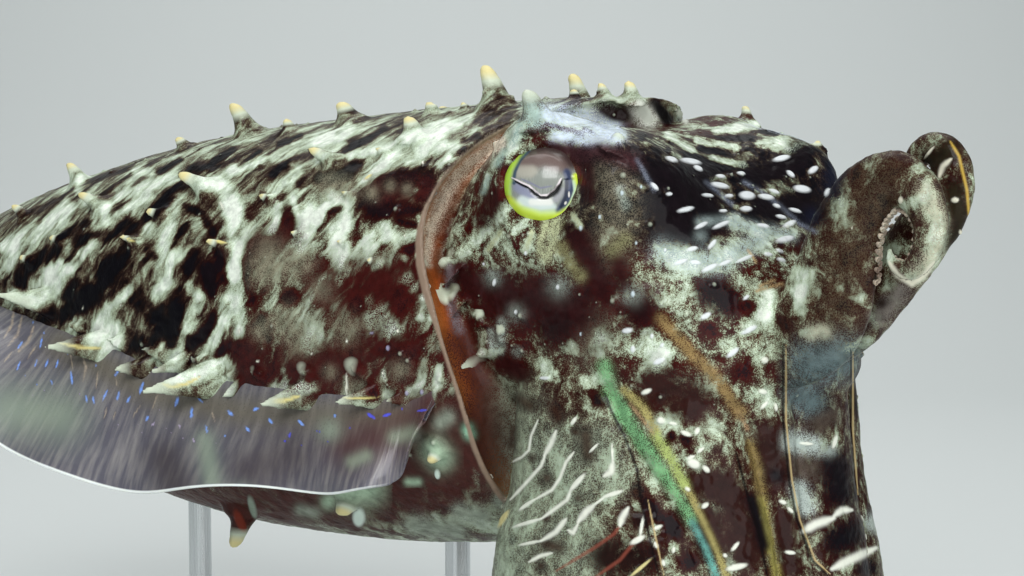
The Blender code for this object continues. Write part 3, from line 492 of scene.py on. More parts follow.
@dataclass
class Head:
    """The head from the nape to the crown of the arms, with its brows and its orbits."""

    stations_mm: tuple = (   # x, half width, height of the widest line, top, bottom
        (-34, 47, 4, 50, -42), (-6, 50, 8, 57, -42), (4, 55, 16, 63, -41), (14, 60, 19, 66, -39),
        (32, 60, 18, 69, -34), (52, 59, 15, 69, -30), (67, 59, 10, 67, -28), (85, 57, 4, 55, -27),
        (100, 52, -2, 39, -26), (111, 41, -4, 27, -24), (118, 25, -5, 11, -18), (121, 0, -5, -5, -5),
    )
    squareness: float = 2.5
    jaw_squareness: float = 3.4
    swellings: tuple = (     # centre in the head frame, reach, height; right side, mirrored to the left
        ((0.052, -0.056, 0.042), 0.020, 0.0060), ((0.041, -0.047, 0.061), 0.020, 0.0160),
        ((0.081, -0.047, 0.052), 0.021, 0.0165), ((0.014, -0.058, 0.020), 0.014, 0.0030),
        ((0.066, 0.0, 0.070), 0.022, -0.0020),
    )
    eye_centre: tuple[float, float, float] = (0.0523, -0.0502, 0.0491)
    eye_stretch: tuple[float, float] = (1.06, 0.95)      # across, up
    eye_radius: float = 0.0156
    eye_turn: float = radians(27)
    eye_lift: float = radians(5)
    lid_radius: float = 0.0129
    lid_thickness: float = 0.0013
    lid_opening: float = 0.0136  # the ring shows out to this radius
    lid_grid: tuple[int, int] = (96, 14)         # points round the eye and round the ridge
    lid_over: tuple[float, float] = (-0.2, 0.9)  # from how low to how high the lid grows to its full size
    lid_hang: float = 0.0009     # how far the upper lid comes in over the eye
    orbit_depth: float = 0.0012  # the skin round the eye lies this much deeper than the lid's circle
    orbit_reach: float = 0.0150
    orbit_fade: float = 0.0035
    rows: int = 150
    sides: int = 180

    def eye_axis(self, side: int) -> np.ndarray:
        """The way an eye looks, in the head frame (-1 right, 1 left)."""
        flat = cos(self.eye_lift)
        return np.array((sin(self.eye_turn) * flat, side * cos(self.eye_turn) * flat, sin(self.eye_lift)))

    def eye_place(self, side: int) -> np.ndarray:
        """The centre of an eye, in the head frame."""
        return np.array((self.eye_centre[0], abs(self.eye_centre[1]) * side, self.eye_centre[2]))

    def eye_axes(self, side: int) -> tuple[np.ndarray, np.ndarray, np.ndarray]:
        """The axes of an eye, in the head frame.

        Args:
            side: -1 for the right, 1 for the left.

        Returns:
            Across, to the front, then up, then outward.
        """
        axis = self.eye_axis(side)
        up = np.array((0, 0, 1.0)) - axis * axis[2]
        up /= np.linalg.norm(up)
        return np.cross(up, axis) * -side, up, axis

    def build(self) -> Form:
        """Loft the head, raise its swellings and press in its orbits.

        Returns:
            The closed head.
        """
        t = np.linspace(0, 0.992, self.rows)
        table = smooth_rows(self.stations_mm, t) * MM
        angle = 2 * pi * (np.arange(self.sides) + 0.5) / self.sides
        square = np.where(np.cos(angle) > 0, self.squareness, self.jaw_squareness)
        rings = []
        for x, width, line, top, bottom in table:
            width, above, below = (max(value, 1e-4) for value in (width, top - line, line - bottom))
            across, up = oval(angle, width, above, below, square)
            rings.append(np.stack([np.full(self.sides, x), -across, line + up], -1))
        form = Form.loft(np.array(rings))
        mesh = form.mesh("head_form")
        normals = read_normals(mesh)
        bpy.data.meshes.remove(mesh)
        lift = np.zeros(len(form.points))
        for centre, reach, height in self.swellings:
            for side in ((-1, 1) if centre[1] else (1,)):
                away = np.linalg.norm(form.points - (centre[0], abs(centre[1]) * side, centre[2]), axis=1)
                lift += height * np.exp(-(away / reach) ** 2)
        form.points += normals * lift[:, None]
        plane = sqrt(self.eye_radius ** 2 - self.lid_radius ** 2) - self.orbit_depth
        for side in (-1, 1):
            axis = self.eye_axis(side)
            offset = form.points - self.eye_place(side)
            height = offset @ axis
            away = np.linalg.norm(offset - height[:, None] * axis, axis=1)
            share = 1 / (1 + np.exp((away - self.orbit_reach) / self.orbit_fade))
            form.points -= axis * (np.maximum(height - plane, 0) * share)[:, None]
        form.points = from_head(form.points)
        return form

    def lid(self, side: int) -> Form:
        """The soft ridge round an eye.

        Args:
            side: -1 for the right, 1 for the left.

        Returns:
            A closed ring, thicker over the eye than under it.
        """
        across, up, axis = self.eye_axes(side)
        depth = sqrt(self.eye_radius ** 2 - self.lid_opening ** 2)
        centre = self.eye_place(side) + axis * depth
        turn, roll = np.meshgrid(*(np.linspace(0, 2 * pi, count, endpoint=False) for count in self.lid_grid),
                                 indexing="ij")
        wide, tall = self.eye_stretch
        spoke = across * wide * np.cos(turn)[..., None] + up * tall * np.sin(turn)[..., None]
        over = smooth_step(np.sin(turn), *self.lid_over)
        thick = self.lid_thickness * (0.75 + 0.9 * over)
        reach = self.lid_opening + thick * (np.cos(roll) + 1) - self.lid_hang * over
        out = thick * np.sin(roll) * (1 + 0.5 * over)
        points = centre + spoke * reach[..., None] + axis * out[..., None]
        index = np.arange(turn.size).reshape(turn.shape)
        ahead, round_ = np.roll(index, -1, 0), np.roll(index, -1, 1)
        quads = np.stack([index, round_, np.roll(ahead, -1, 1), ahead], -1).reshape(-1, 4)
        return Form(from_head(points.reshape(-1, 3)), quads, np.empty((0, 3), int))


@dataclass
class HangingArms:
    """The arms that hang in a curtain below the head, each a flat tapering lobe round the crown."""

    centre_x: float = 0.066
    length: float = 0.053
    width: float = 0.0595
    squareness: float = 2.5
    levels_mm: tuple = (14, 4, -20, -52, -76, -105, -135, -160, -173)
    flare_mm: tuple = (-9, -3, 0, 3, 8, 12, 13, 11, 8)
    thickness_mm: tuple = (10, 10, 10, 9.5, 8.5, 7, 5, 3, 1.2)
    spans_mm: dict = field(default_factory=lambda: {
        "arm_2_right": (
            (24, 54), (22, 54), (4, 27), (2.5, 17), (2, 15), (4, 15), (6, 14), (8, 12), (9.4, 10.6)),
        "arm_3_right": (
            (56, 86), (56, 86), (29, 71), (19, 51), (17, 39), (18, 35), (20, 31), (21, 26), (22, 24)),
        "arm_4_right": (
            (88, 130), (88, 134), (73, 134), (53, 131), (41, 134), (44, 120), (52, 98), (60, 78), (66, 70)),
        "arm_2_left": (
            (24, 54), (22, 54), (-1, 37), (-0.5, 36), (0, 34), (2, 28), (5, 22), (8, 16), (11, 13)),
        "arm_3_left": (
            (56, 86), (56, 86), (39, 74), (38, 68), (36, 61), (34, 54), (34, 48), (35, 42), (37, 39)),
        "arm_4_left": (
            (88, 130), (88, 134), (76, 134), (70, 131), (63, 132), (60, 115), (62, 98), (66, 82), (71, 75)),
    })
    overlap_mm: tuple = (0.9, 0.9, 0.8, 0.6, 0.5, 0.4, -1.0, -1.4, 0)   # how far edges pass their neighbours'
    rows: int = 120
    sides: int = 44

    def __post_init__(self) -> None:
        """Measure the crown's outline once."""
        angle = np.linspace(0, pi, 500)
        across, along = oval(angle, self.width, self.length, self.length, self.squareness)
        self.outline = np.stack([self.centre_x + along, -across], -1)
        steps = np.hypot(*np.diff(self.outline, axis=0).T)
        self.distance = np.concatenate([[0], np.cumsum(steps)])

    def beside(self, distance: np.ndarray, side: int, outward: np.ndarray) -> np.ndarray:
        """Points beside the crown's outline, in the head frame's x and y.

        Args:
            distance: How far from the crown's front, towards side.
            side: -1 for the right, 1 for the left.
            outward: How far out of the outline.

        Returns:
            x and y of each point.
        """
        def at(d: np.ndarray) -> np.ndarray:
            """The outline at a distance, on either side of the front."""
            x = np.interp(np.abs(d), self.distance, self.outline[:, 0])
            y = np.interp(np.abs(d), self.distance, self.outline[:, 1])
            return np.stack([x, np.where(d > 0, y, -y)], -1)

        step = 0.0015
        here, along = at(distance), at(distance + step) - at(distance - step)
        along /= np.linalg.norm(along, axis=-1, keepdims=True)
        normal = np.stack([-along[..., 1], along[..., 0]], -1)
        facing = np.sum(normal * (here - (self.centre_x, 0)), -1, keepdims=True)
        place = here + normal * np.sign(facing) * np.asarray(outward)[..., None]
        return np.stack([place[..., 0], place[..., 1] * -side], -1)

    def section(self, name: str, level: np.ndarray) -> tuple[np.ndarray, ...]:
        """An arm's cross-section.

        Args:
            name: The arm.
            level: Heights in the head frame.

        Returns:
            Where it starts and ends round the crown, its flare and its thickness, at each height.
        """
        t = np.interp(-level / MM, [-z for z in self.levels_mm], np.linspace(0, 1, len(self.levels_mm)))
        start, end = (smooth_rows(self.spans_mm[name], t) * MM).T
        flare, thickness = (smooth_rows(np.array((self.flare_mm, self.thickness_mm)).T, t) * MM).T
        return start, end, flare, thickness

    def build(self) -> dict[str, Form]:
        """Loft every hanging arm.

        Returns:
            The closed arms by their nodes' names.
        """
        forms = {}
        levels = np.linspace(self.levels_mm[0], self.levels_mm[-1], self.rows) * MM
        turn = 2 * pi * np.arange(self.sides) / self.sides
        for name in self.spans_mm:
            side = -1 if name.endswith("right") else 1
            start, end, flare, thickness = self.section(name, levels)
            overlap = np.interp(-levels / MM, [-z for z in self.levels_mm], self.overlap_mm) * MM
            rings = []
            for k, level in enumerate(levels):
                middle, half = (start[k] + end[k]) / 2, (end[k] - start[k]) / 2 + overlap[k]
                out = flare[k] - thickness[k] / 2 + thickness[k] / 2 * np.sin(turn)
                place = self.beside(middle + half * np.cos(turn), side, out)
                rings.append(np.column_stack([place, np.full(self.sides, level)]))
            forms[name] = Form.loft(from_head(np.array(rings)))
        return forms


@dataclass
class RaisedArms:
    """The first pair of arms, raised in front of the head with their tips curled."""

    tables_mm: dict = field(default_factory=lambda: {   # x, y, z, half width in the curl, half thickness
        "arm_1_right": (
            (98, -9, -3, 14, 7), (116, -10, -1, 16, 7.5), (132, -11, 7, 17, 7.5), (139, -11, 21, 15.5, 7),
            (143.5, -11, 36, 12.5, 6.5), (150.5, -11, 47, 10.5, 6), (161, -11.5, 52, 9, 5.5),
            (170.5, -12, 48.5, 7.5, 5), (175, -12, 40, 6, 4.2), (173.5, -12, 31, 4.6, 3.4),
            (168, -12, 25, 3.2, 2.6), (162, -12, 26.5, 2.0, 1.8), (160.5, -12, 31, 0.7, 0.7)),
        "arm_1_left": (
            (98, 9, -3, 13, 6.5), (113, 10, 0, 13.5, 7), (128, 11, 6, 12, 7), (142, 12, 19, 10.5, 6.5),
            (154.5, 12, 33, 10, 6), (163.5, 12, 45, 9, 5.5), (165.5, 12, 56, 7, 4.8),
            (159, 12, 62, 5, 4), (152.5, 12, 58.5, 3.6, 3), (151, 12, 51.5, 2.4, 2.2),
            (154.5, 12, 47, 0.8, 0.8)),
    })
    rows: int = 150
    sides: int = 36

    def build(self) -> dict[str, Form]:
        """Loft both raised arms along their curls.

        Returns:
            The closed arms by their nodes' names.
        """
        forms = {}
        turn = 2 * pi * np.arange(self.sides) / self.sides
        for name, rows in self.tables_mm.items():
            t = np.linspace(0, 1, self.rows)
            here = smooth_rows(rows, t) * MM
            run = smooth_rows(rows, t + 0.004)[:, :3] - smooth_rows(rows, t - 0.004)[:, :3]
            run /= np.linalg.norm(run, axis=1, keepdims=True)
            across = np.array((0, 1.0, 0)) - run * run[:, 1:2]
            across /= np.linalg.norm(across, axis=1, keepdims=True)
            wide = np.cross(run, across)
            rings = (here[:, None, :3] + wide[:, None] * (here[:, 3, None] * np.cos(turn))[..., None]
                     + across[:, None] * (here[:, 4, None] * np.sin(turn))[..., None])
            forms[name] = Form.loft(from_head(rings))
        return forms


@dataclass
class Funnel:
    """The funnel below the neck, a flattened tube with an open end."""

    path_mm: tuple = (       # x, z, half width, half height, in the body frame
        (84, -54, 22, 8), (112, -57, 20, 11), (134, -64, 15, 12), (152, -75, 11, 10.5), (164, -88, 9, 8.5),
    )
    bore: float = 0.0058
    bore_depth: float = 0.014
    rows: int = 60
    sides: int = 48

    def build(self) -> Form:
        """Loft the tube and turn its end inward to make the bore.

        Returns:
            The closed funnel.
        """
        t = np.linspace(0, 1, self.rows)
        x, z, width, height = (smooth_rows(self.path_mm, t) * MM).T
        run = smooth_rows(self.path_mm, t + 0.02)[:, :2] - smooth_rows(self.path_mm, t - 0.02)[:, :2]
        run /= np.linalg.norm(run, axis=1, keepdims=True)
        turn = 2 * pi * np.arange(self.sides) / self.sides
        rings = [np.stack([x[k] - run[k, 1] * height[k] * np.sin(turn), width[k] * np.cos(turn),
                           AXIS_HEIGHT + z[k] + run[k, 0] * height[k] * np.sin(turn)], -1)
                 for k in range(self.rows)]
        centre, back = rings[-1].mean(0), rings[-2].mean(0) - rings[-1].mean(0)
        back /= np.linalg.norm(back)
        spokes = rings[-1] - centre
        spokes /= np.linalg.norm(spokes, axis=1, keepdims=True)
        rings += [centre + back * depth + spokes * self.bore for depth in (0.0, self.bore_depth)]
        return Form.loft(np.array(rings))


@dataclass
class Suckers:
    """The suckers in four rows on the inner face of every arm."""

    hanging: HangingArms
    raised: RaisedArms
    radius: float = 0.00155
    height: float = 0.0015
    profile: tuple = (           # out over the radius, up over the height
        (0.62, -1.3), (0.70, 0.0), (0.96, 0.55), (1.0, 0.95), (0.84, 1.05), (0.60, 0.72), (0.30, 0.30))
    sides: int = 12
    row_offsets: tuple = (-0.60, -0.20, 0.20, 0.60)
    curl_offsets: tuple = (-0.02, 0.22, 0.46, 0.70)   # inside the curls the rows turn to the animal's left
    pitch: float = 0.0034
    first_level: float = -0.034
    tip_left_bare: float = 0.006
    raised_from: float = 0.27
    raised_to: float = 0.97
    curl_side: dict = field(default_factory=lambda: {"arm_1_right": -1, "arm_1_left": 1})

    def cup(self, place: np.ndarray, way: np.ndarray, size: float) -> Form:
        """One sucker, its foot in the arm.

        Args:
            place: Where it stands.
            way: The way its hollow rim faces.
            size: Its size over the full one.

        Returns:
            The closed cup.
        """
        way = way / np.linalg.norm(way)
        aside = np.cross(way, (0, 0, 1.0) if abs(way[2]) < 0.9 else (1.0, 0, 0))
        aside /= np.linalg.norm(aside)
        turn = 2 * pi * np.arange(self.sides) / self.sides
        spokes = aside * np.cos(turn)[:, None] + np.cross(way, aside) * np.sin(turn)[:, None]
        rings = [place + way * up * self.height * size + spokes * out * self.radius * size
                 for out, up in self.profile]
        return Form.loft(np.array(rings))

    def on_hanging(self) -> list[Form]:
        """The suckers of the hanging arms.

        Returns:
            Each closed cup.
        """
        arms, made = self.hanging, []
        for name in arms.spans_mm:
            side = -1 if name.endswith("right") else 1
            levels = np.arange(self.first_level, arms.levels_mm[-1] * MM + self.tip_left_bare, -self.pitch)
            for level in levels:
                for row, share in enumerate(self.row_offsets):
                    at = np.array([level - self.pitch / 2 * (row % 2)])
                    start, end, flare, thickness = (value[0] for value in arms.section(name, at))
                    half = (end - start) / 2
                    offset = share * min(half, 0.0105)
                    size = min(1.0, 0.30 + thickness / 0.009) * min(1.0, half / 0.005)
                    depth = flare - thickness / 2 - thickness / 2 * sqrt(1 - (offset / half) ** 2)
                    middle = (start + end) / 2
                    across = np.array([middle + offset])
                    here, inner = (np.append(arms.beside(across, side, np.array([out]))[0], at[0])
                                   for out in (depth, depth - 0.01))
                    made.append(self.cup(from_head(here), from_head(inner) - from_head(here), size))
        return made

    def on_raised(self) -> list[Form]:
        """The suckers of the raised arms.

        Returns:
            Each closed cup.
        """
        made = []
        for name, rows in self.raised.tables_mm.items():
            places = np.linspace(0, 1, 400)
            table = smooth_rows(rows, places)[:, :3] * MM
            run = np.concatenate([[0], np.cumsum(np.linalg.norm(np.diff(table, axis=0), axis=1))])
            first, last = (np.interp(share, places, run) for share in (self.raised_from, self.raised_to))
            for distance in np.arange(first, last, self.pitch):
                for row, offset in enumerate(self.curl_offsets):
                    t = np.interp(distance + self.pitch / 2 * (row % 2), run, places)
                    x, y, z, width, thick = smooth_rows(rows, np.array([t]))[0] * MM
                    before, after = (smooth_rows(rows, np.array([t + step]))[0, :3]
                                     for step in (-0.004, 0.004))
                    ahead = after - before
                    ahead /= np.linalg.norm(ahead)
                    across = np.array((0, 1.0, 0)) - ahead * ahead[1]
                    across /= np.linalg.norm(across)
                    inward = np.cross(ahead, across) * self.curl_side[name]
                    here = np.array((x, y, z)) + across * offset * thick
                    here = here + inward * width * sqrt(1 - offset ** 2)
                    size = min(0.62, 0.12 + width / 0.016)
                    made.append(self.cup(from_head(here), from_head(here + inward) - from_head(here), size))
        return made

    def dress(self) -> bpy.types.Object:
        """Make all the suckers as one mesh and dress it."""
        mesh = Form.join(self.on_hanging() + self.on_raised()).mesh("suckers")
        return add_object("suckers", mesh, SuckerFinish().material())


@dataclass
class Fin:
    """One fin, a thin membrane from the flank to its free margin, its root sunk in the flank."""

    side: int
    mantle: Mantle
    stations_mm: tuple = (   # x, height of the root, width, droop in degrees
        (118, -22, 9, 60), (109, -24, 27, 64), (90, -26, 34, 66), (50, -28, 34, 66), (-7, -27, 44, 62),
        (-50, -20, 50, 58), (-86, -14, 50, 38), (-125, -8, 47, 18), (-185, -2, 42, 20), (-236, 1, 30, 14),
        (-263, 1, 4, 6),
    )
    root_thickness: float = 0.0046
    thickness: float = 0.0016
    margin_thickness: float = 0.0007
    sunk: float = 0.004
    wave: float = 0.0035
    waves: float = 6.5
    phases: tuple[float, float] = (0.4, 1.3)     # of the wave on the right and the left fin
    smoothing: int = 12
    columns: int = 620
    rows: int = 96

    def build(self) -> tuple[Form, np.ndarray]:
        """Make the membrane.

        Returns:
            The closed form, and for each point its place along the fin and across it, from 0 to 1.
        """
        t = np.linspace(0, 1, self.columns)
        x, z, width, droop = smooth_rows(self.stations_mm, t).T
        x, z, width, droop = x * MM, z * MM, width * MM, np.radians(droop)
        root = np.stack([x, self.side * self.mantle.half_width(x, z), z + AXIS_HEIGHT], -1)
        along = np.gradient(root, axis=0)
        along[:, 2] = 0
        for _ in range(self.smoothing):
            along = (np.roll(along, 1, 0) + along + np.roll(along, -1, 0)) / 3
        along /= np.linalg.norm(along, axis=1, keepdims=True)
        outward = np.stack([along[:, 1], -along[:, 0], np.zeros(len(t))], -1)
        outward *= np.sign(outward[:, 1:2] * self.side)
        way = outward * np.cos(droop)[:, None] - np.array((0, 0, 1.0)) * np.sin(droop)[:, None]
        up = np.cross(way, along)
        up *= np.sign(up[:, 2:])
        up /= np.linalg.norm(up, axis=1, keepdims=True)
        phase = self.phases[0 if self.side < 0 else 1]
        wave = self.wave * np.sin(2 * pi * self.waves * t + phase) * np.minimum(1, width / 0.03)
        share = np.linspace(0, 1, self.rows)
        out = share[None, :] * (width[:, None] + self.sunk) - self.sunk
        across = np.clip(out / width[:, None], 0, 1)
        middle = root[:, None] + way[:, None] * out[..., None]
        middle = middle + up[:, None] * (wave[:, None] * across ** 1.5)[..., None]
        thick = np.interp(across, (0, 0.2, 0.9, 1.0),
                          (self.root_thickness, self.thickness * 1.2, self.thickness, self.margin_thickness))
        rings = np.concatenate([middle + up[:, None] * thick[..., None] / 2,
                                (middle - up[:, None] * thick[..., None] / 2)[:, ::-1]], axis=1)
        places = np.concatenate([np.stack(np.broadcast_arrays(t[:, None], across), -1),
                                 np.stack(np.broadcast_arrays(t[:, None], across[:, ::-1]), -1)], axis=1)
        return Form.loft(rings), np.vstack([places.reshape(-1, 2), (0, 0.5), (1, 0.5)])

    def dress(self) -> bpy.types.Object:
        """Make the membrane, paint its dots and rays and dress it.

        Returns:
            The membrane.
        """
        form, places = self.build()
        name = "membrane_right" if self.side < 0 else "membrane_left"
        mesh = form.mesh(name)
        brush = Brush(form.points, read_normals(mesh), np.zeros(len(form.points)), flips=(-self.side,))
        brush.paint(FIN_MARKS)
        brush.store(mesh)
        store(mesh, "along", places[:, 0])
        store(mesh, "across", places[:, 1])
        return add_object(name, mesh, FinFinish().material())


@dataclass(frozen=True)
class Papilla:
    """A blunt fleshy horn on the skin, bent a little towards its tip."""

    root: np.ndarray
    way: np.ndarray
    height: float
    girth: float = 0.42          # radius at the root over height
    bend: float = 0.25
    flat: float = 1.0            # thickness across over width
    tip: float = 1.0             # how much of the tips' cream it carries
    profile: tuple = (           # up over the height, radius over the girth
        (-0.30, 1.9), (0.0, 1.45), (0.16, 1.02), (0.40, 0.74), (0.68, 0.58), (0.88, 0.42), (1.0, 0.12))

    def build(self, sides: int = 14) -> Form:
        """Loft the horn from inside the skin to its rounded tip.

        Args:
            sides: How many points go round it.

        Returns:
            The closed horn.
        """
        way = self.way / np.linalg.norm(self.way)
        rear = np.array((-1.0, 0, 0)) - way * -way[0]
        rear /= np.linalg.norm(rear) + 1e-9
        across = np.cross(way, rear)
        turn = 2 * pi * np.arange(sides) / sides
        rings = []
        for reach, wide in smooth_rows(self.profile, np.linspace(0, 1, 16)):
            centre = self.root + (way * reach + rear * self.bend * max(reach, 0) ** 2) * self.height
            spokes = across * np.cos(turn)[:, None] + rear * (np.sin(turn) * self.flat)[:, None]
            rings.append(centre + spokes * wide * self.girth * self.height)
        return Form.loft(np.array(rings))


@dataclass
class Papillae:
    """The horns and flaps of the mantle and head, placed by their roots and tips in the photograph."""

    horns_px: tuple = (          # root, tip, girth; on the photographed side
        ((497, 106), (495, 77), 0.38), ((350, 121), (345, 107), 0.62), ((414, 135), (413, 121), 0.62),
        ((249, 134), (240, 111), 0.36), ((331, 162), (315, 152), 0.34), ((206, 189), (187, 177), 0.34),
        ((130, 160), (121, 147), 0.38), ((100, 205), (85, 196), 0.36), ((80, 182), (74, 167), 0.4),
        ((24, 216), (17, 207), 0.4), ((134, 241), (124, 237), 0.36), ((224, 246), (211, 241), 0.34),
        ((604, 98), (603, 87), 0.55), ((631, 98), (630, 85), 0.6), ((575, 99), (575, 92), 0.7),
        ((528, 103), (527, 96), 0.7), ((465, 110), (464, 104), 0.8), ((432, 113), (431, 105), 0.7),
        ((290, 131), (289, 122), 0.7), ((384, 153), (378, 149), 0.6), ((185, 148), (180, 140), 0.6),
        ((160, 215), (150, 212), 0.5), ((60, 240), (52, 238), 0.5), ((270, 200), (262, 196), 0.5),
        ((300, 235), (293, 232), 0.5), ((350, 195), (344, 192), 0.5), ((375, 262), (369, 260), 0.5),
        ((345, 243), (339, 241), 0.5), ((30, 260), (22, 258), 0.5),
    )
    head_horns_px: tuple = (     # root, tip, girth; in the head's frame the left side repeats them
        ((537, 119), (533, 97), 0.50), ((616, 148), (622, 138), 0.75), ((452, 268), (446, 258), 0.8),
        ((459, 300), (453, 293), 0.8), ((482, 322), (480, 314), 0.6), ((487, 350), (481, 357), 0.7),
        ((503, 338), (501, 330), 0.6),
    )
    flaps_px: tuple = (          # root, tip, girth; flattened flaps over the fin
        ((46, 301), (8, 293), 0.24), ((106, 346), (60, 343), 0.26), ((150, 368), (122, 366), 0.34),
        ((216, 379), (161, 385), 0.26), ((186, 362), (158, 371), 0.26), ((240, 388), (226, 396), 0.42),
        ((312, 394), (270, 400), 0.28), ((376, 396), (340, 398), 0.26), ((402, 398), (385, 400), 0.32),
    )
    lip_from_px: float = 560         # the horns of the dorsal lip stand on its crest, so they have no twin
    lean_out: float = 0.45           # how far horns lean out of the skin, over their length in the picture
    twin_height: float = 0.92        # of a horn on the far side
    head_tip: float = 0.55           # the head's horns carry less cream
    head_twin: tuple = (0.62, 0.9)   # height and cream of their twins
    flap_x_mm: tuple = (-228, -206, -184, -160, -136, -112, -88, -64, -38, -14, 12, 40, 66, 90)
    flap_mm: tuple = (8.0, 2.8, 1.1)     # length, half width and half thickness
    flap_profile: tuple = ((-0.35, 1.5), (0.0, 1.2), (0.3, 0.85), (0.6, 0.5), (0.85, 0.24), (1.0, 0.08))
    flap_above_fin: float = 0.0085
    belly_px: tuple = (((437, 452), 4.5), ((350, 498), 7.0))
    belly_hanging_px: tuple = (((168, 505), (168, 531), 0.42), ((243, 513), (243, 538), 0.38))
    tiny_count: int = 420
    tiny_mm: tuple = (0.5, 1.5)

    def horn(self, tree: BVHTree, root_px: tuple, tip_px: tuple, girth: float) -> Papilla | None:
        """Stand a horn where its root's pixel meets the skin.

        Args:
            tree: The skin's surface.
            root_px: The root's pixel.
            tip_px: The pixel that it points to.
            girth: Its radius at the root over its height.

        Returns:
            The horn, or None where the pixel misses the skin.
        """
        hit = VIEW.hit(tree, root_px)
        if hit is None:
            return None
        root, normal = hit
        depth = VIEW.project(root[None])[1][0]
        tip = np.array(VIEW.place) + VIEW.ray(tip_px) * depth
        flat = tip - root
        way = flat + normal * self.lean_out * np.linalg.norm(flat)
        return Papilla(root, way, float(np.linalg.norm(way)), girth)

    def flaps(self, fin: Fin) -> list[Papilla]:
        """The row of flattened flaps over one fin.

        Args:
            fin: The fin.

        Returns:
            The flaps, smaller towards the tail, pointing back.
        """
        rows = np.array(fin.stations_mm[::-1], float)
        made = []
        for k, x in enumerate(self.flap_x_mm):
            share = 0.55 + 0.45 * min(1.0, (x + 265) / 120)
            share *= 0.8 + 0.35 * abs(sin(2.3 * k))
            z = np.interp(x, rows[:, 0], rows[:, 1]) * MM + self.flap_above_fin * share
            root = np.array((x * MM, fin.side * float(fin.mantle.half_width(x * MM, z)), AXIS_HEIGHT + z))
            out = np.array((0, fin.side * 1.0, 0.25))
            way = np.array((-0.78, 0, 0.05)) + out / np.linalg.norm(out) * 0.62
            length, wide, thin = (value * MM * share for value in self.flap_mm)
            made.append(Papilla(root, way, length, wide / length, 0.1, thin / wide, 0.5, self.flap_profile))
        return made

    def build(self, mantle_tree: BVHTree, head_tree: BVHTree, fins: list[Fin]) -> list[Papilla]:
        """Place every horn and flap on both sides.

        Args:
            mantle_tree: The mantle's surface.
            head_tree: The head's surface.
            fins: The two fins that the flaps follow.

        Returns:
            The papillae.
        """
        made = []
        for root, tip, girth in self.horns_px + self.belly_hanging_px:
            horn = self.horn(mantle_tree, root, tip, girth)
            if horn is not None:
                made.append(horn)
                if root[0] < self.lip_from_px:
                    made.append(Papilla(horn.root * (1, -1, 1), horn.way * (1, -1, 1),
                                        horn.height * self.twin_height, girth))
        for root, tip, girth in self.flaps_px:
            flap = self.horn(mantle_tree, root, tip, girth)
            if flap is not None:
                flap = replace(flap, flat=0.45, bend=0.05, tip=0.62, profile=self.flap_profile)
                made += [flap, replace(flap, root=flap.root * (1, -1, 1), way=flap.way * (1, -1, 1))]
        for root, tip, girth in self.head_horns_px:
            horn = self.horn(head_tree, root, tip, girth)
            if horn is not None:
                horn = replace(horn, tip=self.head_tip)
                made.append(horn)
                flipped = from_head(to_head(horn.root) * (1, -1, 1))
                way = from_head(to_head(horn.root + horn.way) * (1, -1, 1)) - flipped
                lower, tip_share = self.head_twin
                made.append(replace(horn, root=flipped, way=way, height=horn.height * lower, tip=tip_share))
        for root_px, height in self.belly_px:
            hit = VIEW.hit(mantle_tree, root_px)
            if hit is not None:
                for flip in (1, -1):
                    root, way = hit[0] * (1, flip, 1), hit[1] * (1, flip, 1) + (0, 0, -0.5)
                    made.append(Papilla(root, way, height * MM, 0.8, 0.3))
        for fin in fins:
            made += self.flaps(fin)
        return made


class Channel(Enum):
    """The values that the skin's points carry for its finish."""

    MANTLE = "on_mantle"
    HEAD = "on_head"
    ARM = "on_arm"
    TONE = "tone_shift"
    CROWN = "crown"
    NECK_BAND = "neck_band"
    NECK_DEPTH = "neck_depth"
    RIM = "rim"
    TIP = "tip"
    BELLY = "belly"
    MAROON = "maroon"


class Layer(Enum):
    """The coats of paint: a shift of the ground's tone, a wash under the stippling, a mark over it."""

    TONE = "tone"
    WASH = "wash"
    MARK = "mark"


@dataclass(frozen=True)
class Stroke:
    """A painted marking, given by its pixels in the photograph and mirrored to the far side."""

    line: tuple
    width: float                 # half width in pixels
    layer: Layer
    colour: str = "#FFFFFF"
    strength: float = 1.0


def strokes(layer: Layer, colour: str, strength: float, *rows: tuple) -> list[Stroke]:
    """Strokes of one colour and strength.

    Args:
        layer: The coat they belong to.
        colour: Their colour; a shift of tone has none.
        strength: How strongly they cover, or the shift of tone.
        rows: For each stroke its half width and then its line.

    Returns:
        The strokes.
    """
    return [Stroke(tuple(line), width, layer, colour, strength) for width, *line in rows]


